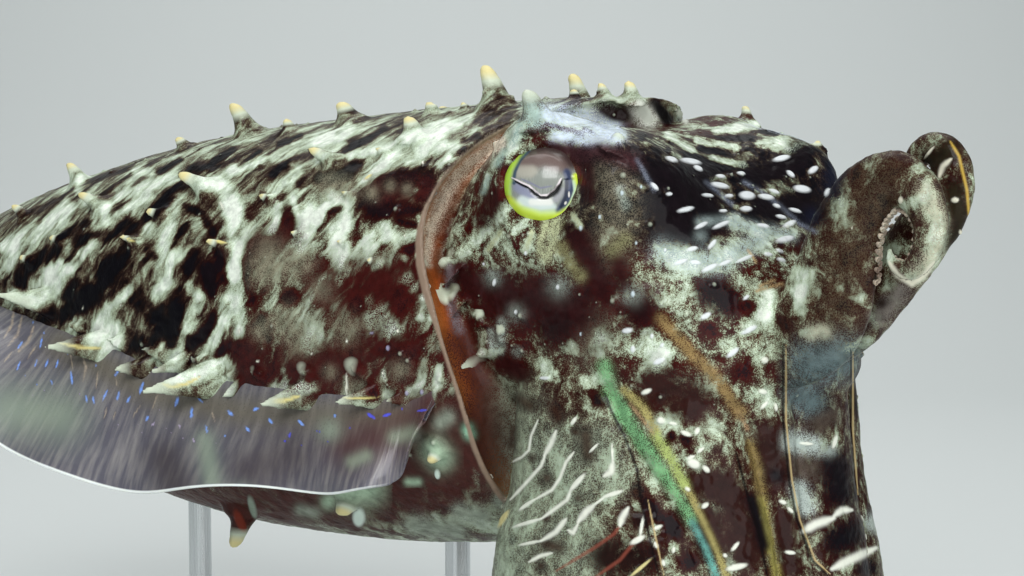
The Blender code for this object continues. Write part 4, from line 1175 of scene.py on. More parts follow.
# Markings of the mantle: cream patches that lean down and back, near-black ones between them,
# grey stippled clouds and maroon towards the collar.
MANTLE_MARKS = [
    *strokes(Layer.WASH, "#3A1311", 0.55,
             (24, (300, 372), (345, 362), (400, 350)), (24, (372, 300), (405, 282), (330, 290)),
             (14, (250, 352), (250, 400)), (12, (380, 190), (424, 190)), (12, (260, 246), (290, 236))),
    *strokes(Layer.TONE, "", 0.36,
             (4, (78, 190), (80, 178)), (6, (88, 200), (105, 207), (108, 220)),
             (7, (68, 208), (50, 222), (30, 236), (5, 246)), (5, (18, 250), (10, 268)),
             (5, (92, 243), (80, 256), (70, 270)), (6, (66, 268), (50, 280), (35, 286)),
             (7, (12, 296), (38, 302), (56, 290), (50, 275)), (4, (60, 262), (48, 272)),
             (5, (120, 197), (150, 186), (176, 178)), (4, (118, 214), (134, 204), (150, 196)),
             (4, (136, 172), (150, 172)), (4, (140, 240), (150, 225)),
             (8, (180, 196), (170, 215), (164, 238)), (9, (168, 252), (165, 275), (163, 294)),
             (4, (152, 262), (138, 280), (126, 298)), (5, (128, 290), (110, 306), (98, 325)),
             (8, (95, 338), (112, 330), (110, 345)), (9, (205, 180), (226, 190), (232, 210)),
             (10, (232, 205), (237, 228), (236, 245)), (5, (238, 244), (234, 262), (232, 276)),
             (7, (236, 270), (238, 290), (228, 304), (222, 316)), (6, (236, 300), (240, 318), (238, 335)),
             (6, (222, 322), (212, 342), (198, 354)), (8, (184, 348), (176, 364), (170, 378)),
             (7, (180, 380), (200, 374), (224, 362)), (7, (270, 203), (258, 218), (248, 232)),
             (4, (279, 205), (276, 222), (271, 232)), (7, (294, 172), (284, 184), (272, 190)),
             (9, (312, 212), (306, 228), (300, 246)), (4, (327, 206), (318, 220)),
             (3, (293, 198), (296, 214)), (5, (262, 158), (246, 166), (232, 172)),
             (5, (330, 136), (305, 148), (275, 158)), (4, (345, 146), (322, 156), (300, 168)),
             (5, (350, 128), (340, 138), (318, 144)), (4, (395, 144), (375, 150), (350, 156)),
             (6, (396, 152), (382, 166), (366, 182)), (8, (440, 140), (424, 150), (412, 162)),
             (6, (445, 124), (425, 132), (405, 140)), (4, (440, 164), (456, 148)),
             (4, (470, 120), (448, 128)), (5, (478, 132), (464, 146), (450, 158)),
             (6, (334, 196), (344, 206), (342, 222)), (6, (352, 200), (346, 226)),
             (8, (336, 232), (342, 246), (338, 262)), (7, (366, 226), (370, 246), (374, 262)),
             (7, (384, 228), (392, 246), (384, 266)), (7, (398, 240), (414, 238)),
             (4, (420, 216), (426, 234)), (4, (413, 203), (426, 206)),
             (7, (200, 300), (194, 314), (188, 328)), (5, (186, 284), (200, 296)), (5, (240, 331)),
             (5, (235, 386), (228, 396)), (7, (276, 388), (290, 394), (302, 388)),
             (3, (284, 370), (286, 386)), (3, (303, 372), (298, 386)), (6, (312, 388)),
             (7, (408, 278), (412, 288)), (3.5, (423, 297)), (3, (418, 255)), (4, (405, 258)),
             (7, (398, 331)), (4, (420, 318)), (3, (431, 318)), (5, (424, 362), (420, 384)),
             (4, (440, 368), (438, 384)), (5, (388, 394)), (2.5, (345, 376), (347, 394)),
             (2, (383, 371), (385, 380))),
    *strokes(Layer.TONE, "", -0.40,
             (6, (130, 225), (104, 236), (78, 240)), (7, (56, 250), (36, 262), (20, 274)),
             (5, (86, 222), (62, 236)), (5, (76, 283), (62, 296)), (8, (90, 292), (72, 310), (46, 320)),
             (6, (22, 284)), (10, (110, 262), (98, 286), (82, 306)),
             (7, (142, 240), (124, 262), (112, 280)), (6, (152, 258), (140, 285), (134, 300)),
             (9, (150, 312), (160, 330), (140, 345)), (6, (180, 188), (162, 204), (150, 216)),
             (5, (186, 228), (173, 246)), (5, (194, 252), (188, 270)), (7, (206, 268), (214, 290)),
             (4, (218, 254), (224, 280)), (4, (186, 206), (202, 214), (214, 234)),
             (6, (264, 200), (250, 214)), (7, (176, 306), (176, 326), (172, 342)),
             (6, (214, 318), (202, 334), (190, 346)), (4, (228, 345), (218, 356)),
             (4, (252, 246), (245, 266), (248, 284), (252, 300)), (8, (246, 350), (250, 370), (244, 392)),
             (5, (262, 318), (268, 338)), (6, (320, 178), (345, 175), (358, 164)),
             (5, (300, 184), (318, 176)), (7, (286, 212), (290, 232), (272, 244), (258, 244)),
             (4, (326, 212), (340, 208)), (8, (322, 266), (338, 268)), (5, (348, 262)),
             (8, (386, 182), (424, 176), (432, 192)), (8, (368, 204), (390, 212), (418, 206)),
             (3, (400, 222), (416, 226)), (4, (408, 250), (420, 246)), (6, (330, 286), (322, 302)),
             (9, (380, 292), (404, 296), (400, 308)), (7, (384, 350), (410, 352), (402, 366)),
             (7, (372, 392)), (7, (332, 398)), (5, (465, 140), (476, 136)), (3, (454, 155), (464, 149)),
             (3, (385, 128), (366, 140), (345, 150)), (3, (260, 153), (240, 166)),
             (3, (285, 165), (272, 174)), (3, (180, 160), (160, 172)),
             (4, (232, 150), (212, 162), (190, 170)), (3, (300, 136), (280, 144)), (9, (289, 297)),
             (9, (289, 297)), (7, (357, 305)), (7, (357, 305)), (6, (386, 200))),
    *strokes(Layer.WASH, "#85836F", 0.42,
             (12, (268, 250), (262, 272)), (12, (300, 262), (276, 268)), (9, (322, 290)),
             (12, (284, 320), (300, 340)), (9, (262, 330)), (5, (390, 186)), (6, (372, 193)),
             (5, (407, 189)), (12, (346, 330)), (10, (345, 190), (330, 184)), (8, (352, 388)),
             (8, (400, 370)), (6, (330, 372))),
    # White flecks: the skin's own white spots, with painted highlights in their colour.
    *strokes(Layer.MARK, "#F2F3E2", 0.95,
             (2, (258, 361)), (2.4, (347, 341)), (2, (398, 331)), (1.5, (312, 353)), (2, (240, 331)),
             (1.4, (347, 374), (347, 395)), (1.7, (83, 308)), (1.7, (121, 305)), (1.6, (383, 373)),
             (1.6, (300, 245)), (2, (368, 259)), (2, (340, 242)), (1.5, (405, 236)), (2, (423, 163)),
             (2, (33, 322)), (1.4, (220, 202), (224, 210))),
    *strokes(Layer.MARK, "#DCCF86", 0.9,
             (1.6, (366, 179), (371, 175)), (1.2, (340, 398), (378, 397)), (1.6, (213, 241), (226, 243)),
             (1.6, (124, 238), (134, 241)), (1.6, (162, 384), (172, 387), (186, 384), (200, 377)),
             (1.6, (270, 401), (284, 401), (300, 396)), (1.4, (60, 343), (78, 347), (104, 349))),
    *strokes(Layer.MARK, "#A9A6C4", 0.7,
             (2.5, (372, 333)), (3, (388, 348)), (3, (407, 393)), (3, (422, 392))),
]

# Markings of the collar: a smooth tan strip, a rust band under it, painted shade at the darker foot of the
# groove and a painted shadow along the groove's inner side.
COLLAR_MARKS = [
    *strokes(Layer.WASH, "#DCCDB8", 0.75,
             (6, (499, 142), (474, 160), (455, 178), (441, 203), (432, 226)), (4, (430, 228), (426, 262))),
    # Painted shade: the foot of the groove, darkened where the neck meets the arms.
    *strokes(Layer.WASH, "#43231E", 0.75, (15, (458, 345), (478, 385), (492, 425))),
    # Painted shadow: a greyish-lilac strip down the groove's inner side.
    *strokes(Layer.WASH, "#6B6064", 0.7, (4, (449, 268), (450, 300), (458, 330))),
]

# Markings of the belly under the fin: maroon with pale green blotches.
BELLY_MARKS = [
    *strokes(Layer.WASH, "#43201C", 0.9,
             (30, (290, 505), (400, 480), (470, 460)), (24, (410, 425), (470, 430)),
             (22, (150, 500), (250, 505))),
    *strokes(Layer.WASH, "#A6BFA4", 0.95,
             (11, (434, 450), (440, 458)), (14, (354, 490), (368, 488)), (8, (325, 478), (340, 490)),
             (6, (328, 502)), (3.5, (408, 482), (418, 482))),
    *strokes(Layer.WASH, "#8F998A", 0.85,
             (7, (440, 423), (447, 418)), (7, (395, 437), (412, 433)), (7, (460, 512), (482, 516)),
             (8, (415, 525), (440, 530), (456, 532)), (5, (300, 510), (314, 513)), (5, (500, 502))),
    *strokes(Layer.WASH, "#92C6A8", 0.95, (5, (468, 429), (470, 434))),
    *strokes(Layer.MARK, "#DDEFE4", 0.9, (3, (437, 471), (438, 477)), (7, (359, 512), (359, 522))),
    *strokes(Layer.MARK, "#7A3020", 0.8, (8, (168, 508), (168, 528)), (5, (236, 512), (244, 530))),
    *strokes(Layer.MARK, "#92A596", 0.8, (4, (250, 498), (255, 516))),
]

# Markings of the head: ice-white brow, near-black crown with white flecks that carry painted highlights,
# maroon cheek, and a dark-red rim by the eye that also serves as painted lid shade.
HEAD_MARKS = [
    *strokes(Layer.WASH, "#6A6556", 0.35,
             (18, (612, 180), (618, 215), (612, 250)), (14, (600, 330), (590, 350))),
    *strokes(Layer.WASH, "#2C1011", 0.85,
             (20, (498, 298), (540, 300), (576, 312)), (9, (462, 272), (478, 290)),
             (10, (578, 238), (592, 265), (602, 292)), (8, (520, 374), (504, 364)), (16, (640, 310)),
             (8, (618, 262), (622, 282)), (8, (492, 198), (484, 220)), (6, (586, 168), (590, 196)),
             (9, (602, 112), (626, 118))),
    *strokes(Layer.WASH, "#180709", 0.8, (13, (555, 328)), (10, (640, 312))),
    *strokes(Layer.WASH, "#120C10", 0.93,
             (16, (664, 172), (690, 194), (670, 222)), (12, (684, 226), (700, 232)),
             (12, (692, 184), (702, 172)), (9, (748, 172), (778, 172)), (10, (790, 166), (800, 152)),
             (12, (796, 200), (815, 210)), (8, (760, 208), (780, 212)), (9, (708, 200), (716, 214)),
             (12, (712, 292), (724, 300)), (5, (655, 106), (668, 120))),
    *strokes(Layer.WASH, "#0E1224", 0.9, (8, (836, 165), (833, 190)), (8, (812, 216))),
    *strokes(Layer.TONE, "", 0.30,
             (11, (664, 252), (690, 262), (722, 262)), (9, (735, 252), (760, 240)), (6, (700, 236)),
             (6, (735, 224), (765, 230), (792, 236)), (5, (700, 222), (735, 218)), (8, (800, 292)),
             (9, (745, 328)), (8, (728, 345)), (8, (806, 276)), (10, (650, 338), (662, 360)),
             (7, (545, 365), (552, 374)), (6, (600, 334), (600, 352)), (7, (572, 345)),
             (7, (585, 382), (605, 378))),
    *strokes(Layer.WASH, "#9FB0AE", 0.42,
             (10, (664, 252), (690, 262), (722, 262)), (8, (735, 252), (760, 240)), (5, (700, 236)),
             (5, (735, 224), (765, 230), (792, 236)), (4, (700, 222), (735, 218))),
    *strokes(Layer.TONE, "", 0.34,
             (9, (550, 118), (585, 121), (612, 130)), (6, (556, 136), (600, 138), (620, 136))),
    *strokes(Layer.WASH, "#C4D2E4", 0.62,
             (8, (548, 114), (585, 118), (612, 130)), (5, (556, 137), (600, 139), (620, 136))),
    *strokes(Layer.WASH, "#E4E6DC", 0.9, (7, (640, 112), (648, 118))),
    *strokes(Layer.WASH, "#9DB5AC", 0.85, (7, (530, 98), (535, 118))),
    *strokes(Layer.TONE, "", 0.26,
             (5, (520, 126), (510, 144)), (3.5, (504, 150), (494, 168)), (3, (489, 176), (484, 192))),
    *strokes(Layer.WASH, "#8FA8A0", 0.45,
             (5, (522, 124), (512, 142)), (3, (505, 150), (497, 164)), (2.4, (488, 178), (483, 192))),
    *strokes(Layer.WASH, "#3C2226", 0.8, (7, (556, 148), (584, 156)), (8, (600, 150), (632, 162))),
    *strokes(Layer.WASH, "#96705C", 0.7, (4, (564, 166), (574, 173))),
    # Dark-red lines just outside the ring on both sides: the skin's own dark rim, deepened as painted shade
    # of the lid.
    *strokes(Layer.WASH, "#521816", 0.6, (3, (503, 172), (502, 196)), (3, (578, 170), (583, 182))),
    *strokes(Layer.TONE, "", 0.50,
             (4, (738, 128), (764, 123)), (4, (716, 131), (738, 127)), (4, (698, 140), (736, 147)),
             (4, (668, 134), (692, 150)), (4, (648, 140), (664, 146), (680, 154)),
             (3.5, (712, 158), (744, 166)), (7, (762, 141), (778, 146), (792, 150)),
             (5, (782, 136), (793, 134)), (4, (798, 147), (814, 140)), (4, (790, 128), (768, 122)),
             (8, (770, 298), (766, 312))),
    *strokes(Layer.TONE, "", -0.40,
             (3, (640, 132), (668, 150)), (3, (700, 132), (728, 138), (760, 138)),
             (6, (765, 129), (774, 130)), (2.5, (716, 152), (700, 148)), (2.5, (668, 150), (700, 158)),
             (4, (700, 161), (712, 172)), (2.4, (560, 128), (582, 134)), (2, (546, 124), (556, 126)),
             (8, (710, 330)), (7, (748, 308)), (11, (745, 376)), (8, (784, 324)),
             (1.4, (572, 112), (590, 114)), (1.6, (596, 124), (606, 128)), (1.5, (536, 124), (548, 130)),
             (1.5, (584, 128), (594, 133))),
    *strokes(Layer.WASH, "#7F8797", 0.30,
             (2, (744, 182), (762, 192), (780, 206), (800, 224), (816, 232)),
             (2, (706, 182), (718, 192), (732, 204)), (2, (637, 160), (646, 176), (654, 190))),
    *strokes(Layer.TONE, "", 0.30,
             (6, (505, 212), (490, 226), (474, 242), (458, 256), (450, 262)), (4, (524, 222), (516, 232)),
             (4, (477, 314), (484, 334), (482, 352)), (4, (482, 354), (500, 351)),
             (4, (517, 138), (508, 160)), (4, (500, 232), (488, 250)), (4, (532, 232), (526, 250)),
             (3, (573, 215), (580, 226))),
    *strokes(Layer.TONE, "", 0.10,
             (12, (640, 300), (700, 300)), (12, (770, 320), (760, 360)), (10, (600, 240), (630, 230))),
    *strokes(Layer.TONE, "", -0.22,
             (20, (520, 300), (570, 310)), (14, (585, 250), (600, 290)), (12, (600, 160), (640, 170)),
             (16, (480, 330), (520, 350)), (10, (500, 280), (470, 290))),
    *strokes(Layer.WASH, "#B2B893", 0.6,
             (3, (546, 222), (541, 240), (540, 252)), (4.4, (556, 222), (552, 244), (546, 258)),
             (2, (500, 232), (488, 250)), (2, (532, 232), (526, 250)), (2, (573, 215), (580, 226))),
    *strokes(Layer.WASH, "#7E7C58", 0.6,
             (5, (560, 246), (570, 264), (581, 276)), (6, (612, 250), (624, 240))),
    *strokes(Layer.WASH, "#93A096", 0.40,
             (9, (558, 288)), (7, (516, 312)), (7, (493, 278)), (8, (633, 296)),
             (4, (502, 322), (500, 350)), (3, (491, 332), (493, 350)), (4, (620, 190), (626, 206)),
             (4, (517, 352))),
    *strokes(Layer.WASH, "#A98E66", 0.5,
             (1.6, (757, 291), (770, 287), (782, 284)), (1.4, (760, 286), (774, 280)),
             (1.2, (748, 250), (756, 262))),
    # White flecks: the skin's own white spots, with painted highlights in their colour.
    *strokes(Layer.MARK, "#DDE2E4", 0.92,
             (2.6, (516, 312)), (3, (558, 287)), (2, (495, 280), (494, 285)), (2.6, (526, 253)),
             (2, (484, 264)), (3, (652, 336)), (4, (633, 349)), (3, (624, 331), (631, 330)),
             (2, (541, 378), (549, 378)), (2.6, (667, 158), (676, 161)), (3, (682, 160), (699, 163)),
             (2.4, (695, 167), (701, 170)), (2, (717, 176), (724, 177)), (1.8, (738, 173), (744, 174)),
             (3, (713, 184), (727, 187)), (4.5, (742, 195), (752, 196)), (3, (760, 196), (772, 198)),
             (2, (703, 195), (712, 196)), (2.8, (679, 211), (692, 208)), (2.4, (652, 184), (657, 189)),
             (2, (667, 194), (671, 194)), (3, (742, 209), (750, 209)), (1.8, (720, 211), (726, 211)),
             (2, (726, 196), (732, 196)), (2.5, (696, 228), (706, 223)), (2.5, (714, 228), (728, 222)),
             (2.5, (709, 248), (715, 241)), (2.2, (665, 250)), (2.6, (688, 250), (696, 248)),
             (2.6, (675, 264), (686, 260)), (2.6, (691, 262), (699, 263)), (2.8, (703, 271), (716, 265)),
             (2.2, (720, 265), (730, 261)), (2.2, (737, 262), (751, 256)), (2.2, (758, 225), (768, 227)),
             (2, (777, 216), (785, 218)), (3.5, (778, 241), (792, 238)), (3, (785, 226), (794, 222)),
             (2, (774, 205), (779, 207)), (2, (790, 209), (800, 212)), (2, (770, 190), (778, 193)),
             (2.5, (788, 172), (793, 176)), (3.2, (810, 172), (816, 168)), (4, (796, 188), (808, 190)),
             (3, (826, 195), (828, 190)), (3, (775, 160), (788, 157)), (2.2, (765, 254), (771, 255)),
             (2.2, (778, 259), (784, 261)), (2, (777, 250), (782, 252)), (2, (744, 299), (748, 296)),
             (3, (702, 318), (709, 314)), (3, (742, 333), (755, 327)), (3, (728, 356), (737, 349)),
             (3, (655, 363), (663, 359)), (2, (661, 346), (663, 344))),
    *strokes(Layer.MARK, "#190B0B", 0.92, (8, (603, 108), (626, 117))),
    *strokes(Layer.MARK, "#C9CEC2", 0.92, (6.5, (640, 104), (648, 122)), (4.5, (678, 112), (686, 122))),
    *strokes(Layer.MARK, "#0B080A", 0.95, (6, (657, 106), (668, 122))),
    *strokes(Layer.MARK, "#C6D6DC", 0.85,
             (3, (581, 228)), (3, (622, 193)), (2.5, (600, 217)), (3.5, (633, 294)), (2, (641, 187)),
             (2, (581, 334)), (2, (636, 243))),
]

# Markings of the arms: stippled grey-green with white scribbles, the green and the golden stripes, painted
# shadow lines in the creases between the arms and thin golden edges with a painted highlight.
ARM_MARKS = [
    *strokes(Layer.TONE, "", 0.07,
             (20, (516, 405), (520, 450), (522, 500), (515, 575)), (22, (560, 450), (572, 500), (570, 560)),
             (16, (602, 440), (612, 480)), (10, (502, 540), (506, 575))),
    *strokes(Layer.WASH, "#94A38E", 0.30,
             (20, (516, 405), (520, 450), (522, 500), (515, 575)), (22, (560, 450), (572, 500), (570, 560)),
             (16, (602, 440), (612, 480)), (10, (502, 540), (506, 575))),
    *strokes(Layer.WASH, "#2A1512", 0.85,
             (16, (660, 386), (690, 400)), (14, (722, 492), (742, 520), (746, 552)),
             (10, (704, 520), (712, 545)), (10, (700, 482), (722, 490)), (12, (770, 438), (776, 468)),
             (8, (785, 520), (790, 565))),
    *strokes(Layer.TONE, "", 0.13,
             (13, (690, 440), (668, 424)), (11, (726, 440), (716, 420)), (9, (655, 362)),
             (11, (760, 388), (766, 408)), (9, (775, 350)), (9, (650, 466), (655, 492)),
             (8, (672, 560), (676, 546)), (8, (696, 464))),
    *strokes(Layer.TONE, "", -0.44,
             (9, (586, 436), (588, 455)), (7, (547, 478)), (5, (578, 498)), (6, (547, 544), (560, 548)),
             (5, (541, 566)), (4, (547, 518)), (8, (600, 400)), (6, (555, 410), (558, 418)),
             (4, (575, 432)), (7, (520, 400), (530, 406)), (4, (513, 428), (511, 450)), (4, (532, 458)),
             (5, (635, 492)), (4, (512, 540)), (7, (640, 490), (655, 515)), (8, (668, 520), (676, 532)),
             (8, (690, 562)), (6, (686, 440)), (4, (672, 436))),
    *strokes(Layer.WASH, "#36190F", 0.62,
             (7, (586, 436), (588, 455)), (5.5, (547, 478)), (4, (578, 498)), (5, (547, 544), (560, 548)),
             (4, (541, 566)), (3.4, (547, 518)), (5, (555, 410), (558, 418)), (3.4, (575, 432)),
             (5.5, (520, 400), (530, 406)), (3, (513, 428), (511, 446)), (3.4, (532, 458)),
             (4, (635, 492))),
    *strokes(Layer.WASH, "#1C0E0C", 0.9, (13, (606, 556), (640, 560)), (7, (640, 520))),
    *strokes(Layer.WASH, "#7AB07C", 0.62,
             (5.5, (604, 366), (610, 390), (622, 412)), (5.5, (622, 412), (640, 440), (660, 470)),
             (4.5, (660, 470), (680, 500), (692, 520))),
    *strokes(Layer.WASH, "#64A096", 0.7, (3, (692, 522), (706, 548), (717, 580))),
    *strokes(Layer.WASH, "#A39A62", 0.75,
             (3.2, (624, 390), (642, 406), (656, 430)),
             (2.8, (688, 490), (705, 525), (721, 560), (728, 580))),
    *strokes(Layer.WASH, "#A3B26A", 0.8, (3.8, (656, 435), (673, 462), (685, 486))),
    *strokes(Layer.WASH, "#A08464", 0.45, (1.6, (630, 404), (654, 434)), (2, (738, 412), (747, 428))),
    *strokes(Layer.WASH, "#8A744C", 0.7,
             (4.8, (660, 318), (676, 336), (694, 356), (712, 373), (728, 395), (741, 414))),
    *strokes(Layer.WASH, "#7F6E44", 0.75, (4, (750, 444), (758, 470), (762, 500))),
    *strokes(Layer.WASH, "#8E874A", 0.75, (3.4, (762, 500), (768, 535), (778, 580))),
    *strokes(Layer.WASH, "#5D6E70", 0.85, (17, (812, 362), (842, 358)), (12, (800, 396), (812, 402))),
    *strokes(Layer.WASH, "#A6B2AC", 0.85,
             (8, (792, 442), (812, 446)), (5, (830, 452)), (7, (800, 490), (806, 506)), (8, (876, 522))),
    *strokes(Layer.WASH, "#4A4038", 0.8, (9, (802, 465), (812, 470)), (8, (818, 424), (832, 416))),
    *strokes(Layer.WASH, "#0D0B10", 0.92,
             (13, (836, 468), (842, 492)), (8, (864, 380), (860, 405)), (11, (838, 540), (852, 534)),
             (8, (868, 568)), (6, (776, 475)), (5, (752, 500), (764, 545))),
    *strokes(Layer.MARK, "#8E4A3C", 0.6,
             (1.7, (556, 571), (594, 548), (614, 534), (620, 526)),
             (1.7, (594, 578), (620, 560), (632, 545), (637, 537))),
    *strokes(Layer.MARK, "#E6E9DC", 0.92,
             (1.2, (512, 462), (522, 457), (529, 450), (531, 436), (538, 420)),
             (2.4, (544, 456), (551, 444), (556, 431)),
             (1.6, (510, 500), (526, 483), (541, 466), (545, 456)), (2.2, (520, 510), (534, 500)),
             (1.5, (534, 500), (552, 490), (560, 478), (566, 462), (574, 452)),
             (2.2, (514, 527), (541, 519)), (1.8, (541, 519), (556, 508), (567, 500), (571, 490)),
             (3, (571, 490), (584, 475)), (2, (520, 545), (541, 541)),
             (2.4, (541, 541), (556, 532), (562, 524), (566, 519)), (2, (568, 530), (573, 533), (578, 524)),
             (3.2, (578, 522), (586, 512), (594, 505)), (1.6, (594, 505), (604, 498)),
             (2.6, (604, 497), (622, 491)), (1.8, (529, 562), (540, 556), (552, 553)),
             (3, (604, 476), (611, 472), (613, 462)), (1.6, (613, 462), (612, 444)),
             (3, (620, 526), (622, 518), (628, 508)), (1.5, (590, 452), (598, 444)),
             (2.2, (572, 424), (576, 418)), (2, (640, 536), (643, 518)), (3.4, (632, 543), (643, 537)),
             (2.4, (654, 529), (661, 526)), (2.4, (655, 543), (657, 547)), (2, (663, 561), (664, 565)),
             (2, (673, 552), (674, 548)), (3.6, (763, 360), (766, 360)), (3, (760, 391), (765, 392)),
             (2.2, (761, 408), (767, 402)), (2, (775, 404), (776, 410)), (2.8, (643, 393), (650, 390)),
             (3.8, (659, 420), (663, 421)), (2.8, (682, 432), (690, 435)), (2.8, (696, 433), (698, 429)),
             (2, (670, 423), (676, 424)), (5, (690, 462), (697, 465)), (3, (704, 467), (708, 471)),
             (2, (698, 452), (703, 448)), (2, (688, 458), (694, 456)), (2.2, (686, 488), (689, 490)),
             (2.8, (703, 507), (707, 504)), (2.4, (732, 550), (738, 543)), (3.6, (728, 569), (745, 565)),
             (2.2, (724, 555), (726, 556)), (2.4, (780, 501), (785, 503)), (2, (788, 508), (792, 512)),
             (2.4, (786, 552), (794, 553)), (2.4, (833, 447), (836, 436)),
             (4, (802, 532), (816, 524), (834, 518)), (3, (834, 516), (842, 510), (852, 510)),
             (4, (832, 569), (850, 560), (876, 548)), (2, (800, 443), (812, 444))),
    *strokes(Layer.MARK, "#D9CE92", 0.85, (2, (631, 576), (650, 560)), (3, (499, 526), (508, 512))),
    # Painted shadow: dark lines in the creases beside the arms' edges.
    *strokes(Layer.MARK, "#0D0809", 0.85,
             (1.4, (604, 392), (612, 412), (626, 440), (637, 470), (641, 500), (650, 540), (660, 580)),
             (1.3, (783, 345), (783, 420), (789, 480), (797, 520), (812, 560), (828, 576)),
             (1.5, (736, 452), (746, 490), (758, 530), (768, 580)),
             (1.3, (851, 350), (851, 430), (856, 500))),
    # Thin golden lines along the arms' edges: their own colour with a painted highlight on it.
    *strokes(Layer.MARK, "#C4AE7E", 0.85,
             (0.8, (786, 345), (786, 420), (792, 480), (800, 520), (815, 560), (830, 574)),
             (0.8, (853, 352), (853, 430), (858, 495)), (0.8, (648, 500), (654, 530), (664, 576))),
]

# Markings of the two raised arms: mottled maroon and grey-green, cream hook, gold edge on the far one.
RAISED_MARKS = [
    *strokes(Layer.WASH, "#4E4434", 0.28, (28, (880, 180), (850, 250), (835, 320))),
    *strokes(Layer.TONE, "", -0.25,
             (10, (880, 206), (870, 226)), (10, (862, 250), (850, 258)), (8, (886, 180), (900, 160)),
             (8, (856, 176)), (8, (830, 240)), (7, (870, 286), (880, 270)), (6, (840, 304), (862, 310)),
             (5, (935, 186)), (6, (806, 342))),
    *strokes(Layer.TONE, "", 0.24,
             (8, (838, 204), (840, 220)), (7, (868, 166)), (9, (858, 296)), (7, (875, 318)),
             (8, (893, 249), (880, 262)), (6, (918, 168)), (5, (840, 288)), (6, (802, 290)),
             (4, (818, 292))),
    *strokes(Layer.TONE, "", 0.30,
             (8, (810, 334), (824, 332)), (9, (926, 192), (940, 222), (936, 250)),
             (7, (934, 262), (915, 280)), (6, (905, 205), (920, 200)), (6, (866, 340), (850, 348)),
             (6, (796, 270), (800, 310))),
    *strokes(Layer.WASH, "#A9A893", 0.45,
             (8, (926, 192), (940, 222), (936, 250), (918, 276)), (6, (810, 334), (824, 332))),
    *strokes(Layer.WASH, "#241F14", 0.92,
             (9, (934, 160), (950, 150)), (8, (955, 190), (960, 224), (955, 246))),
    *strokes(Layer.WASH, "#80846F", 0.8, (7, (953, 264))),
    *strokes(Layer.WASH, "#6E6862", 0.85, (8, (900, 292), (880, 318))),
    *strokes(Layer.WASH, "#201410", 0.85, (4.5, (883, 304))),
    *strokes(Layer.MARK, "#E2DFCB", 0.9,
             (2.6, (889, 262), (897, 275), (912, 284), (924, 276), (934, 262)),
             (2.4, (939, 177), (943, 166), (951, 159)), (2.6, (901, 198), (901, 202)),
             (3, (953, 200), (957, 200)), (2.8, (960, 232)), (1.5, (925, 158), (934, 147)),
             (1.6, (852, 228))),
    *strokes(Layer.MARK, "#BFA04A", 0.9,
             (1.3, (950, 141), (959, 156), (967, 190), (970, 225), (966, 246), (955, 264))),
    *strokes(Layer.MARK, "#A8986A", 0.8, (2.6, (952, 254))),
]

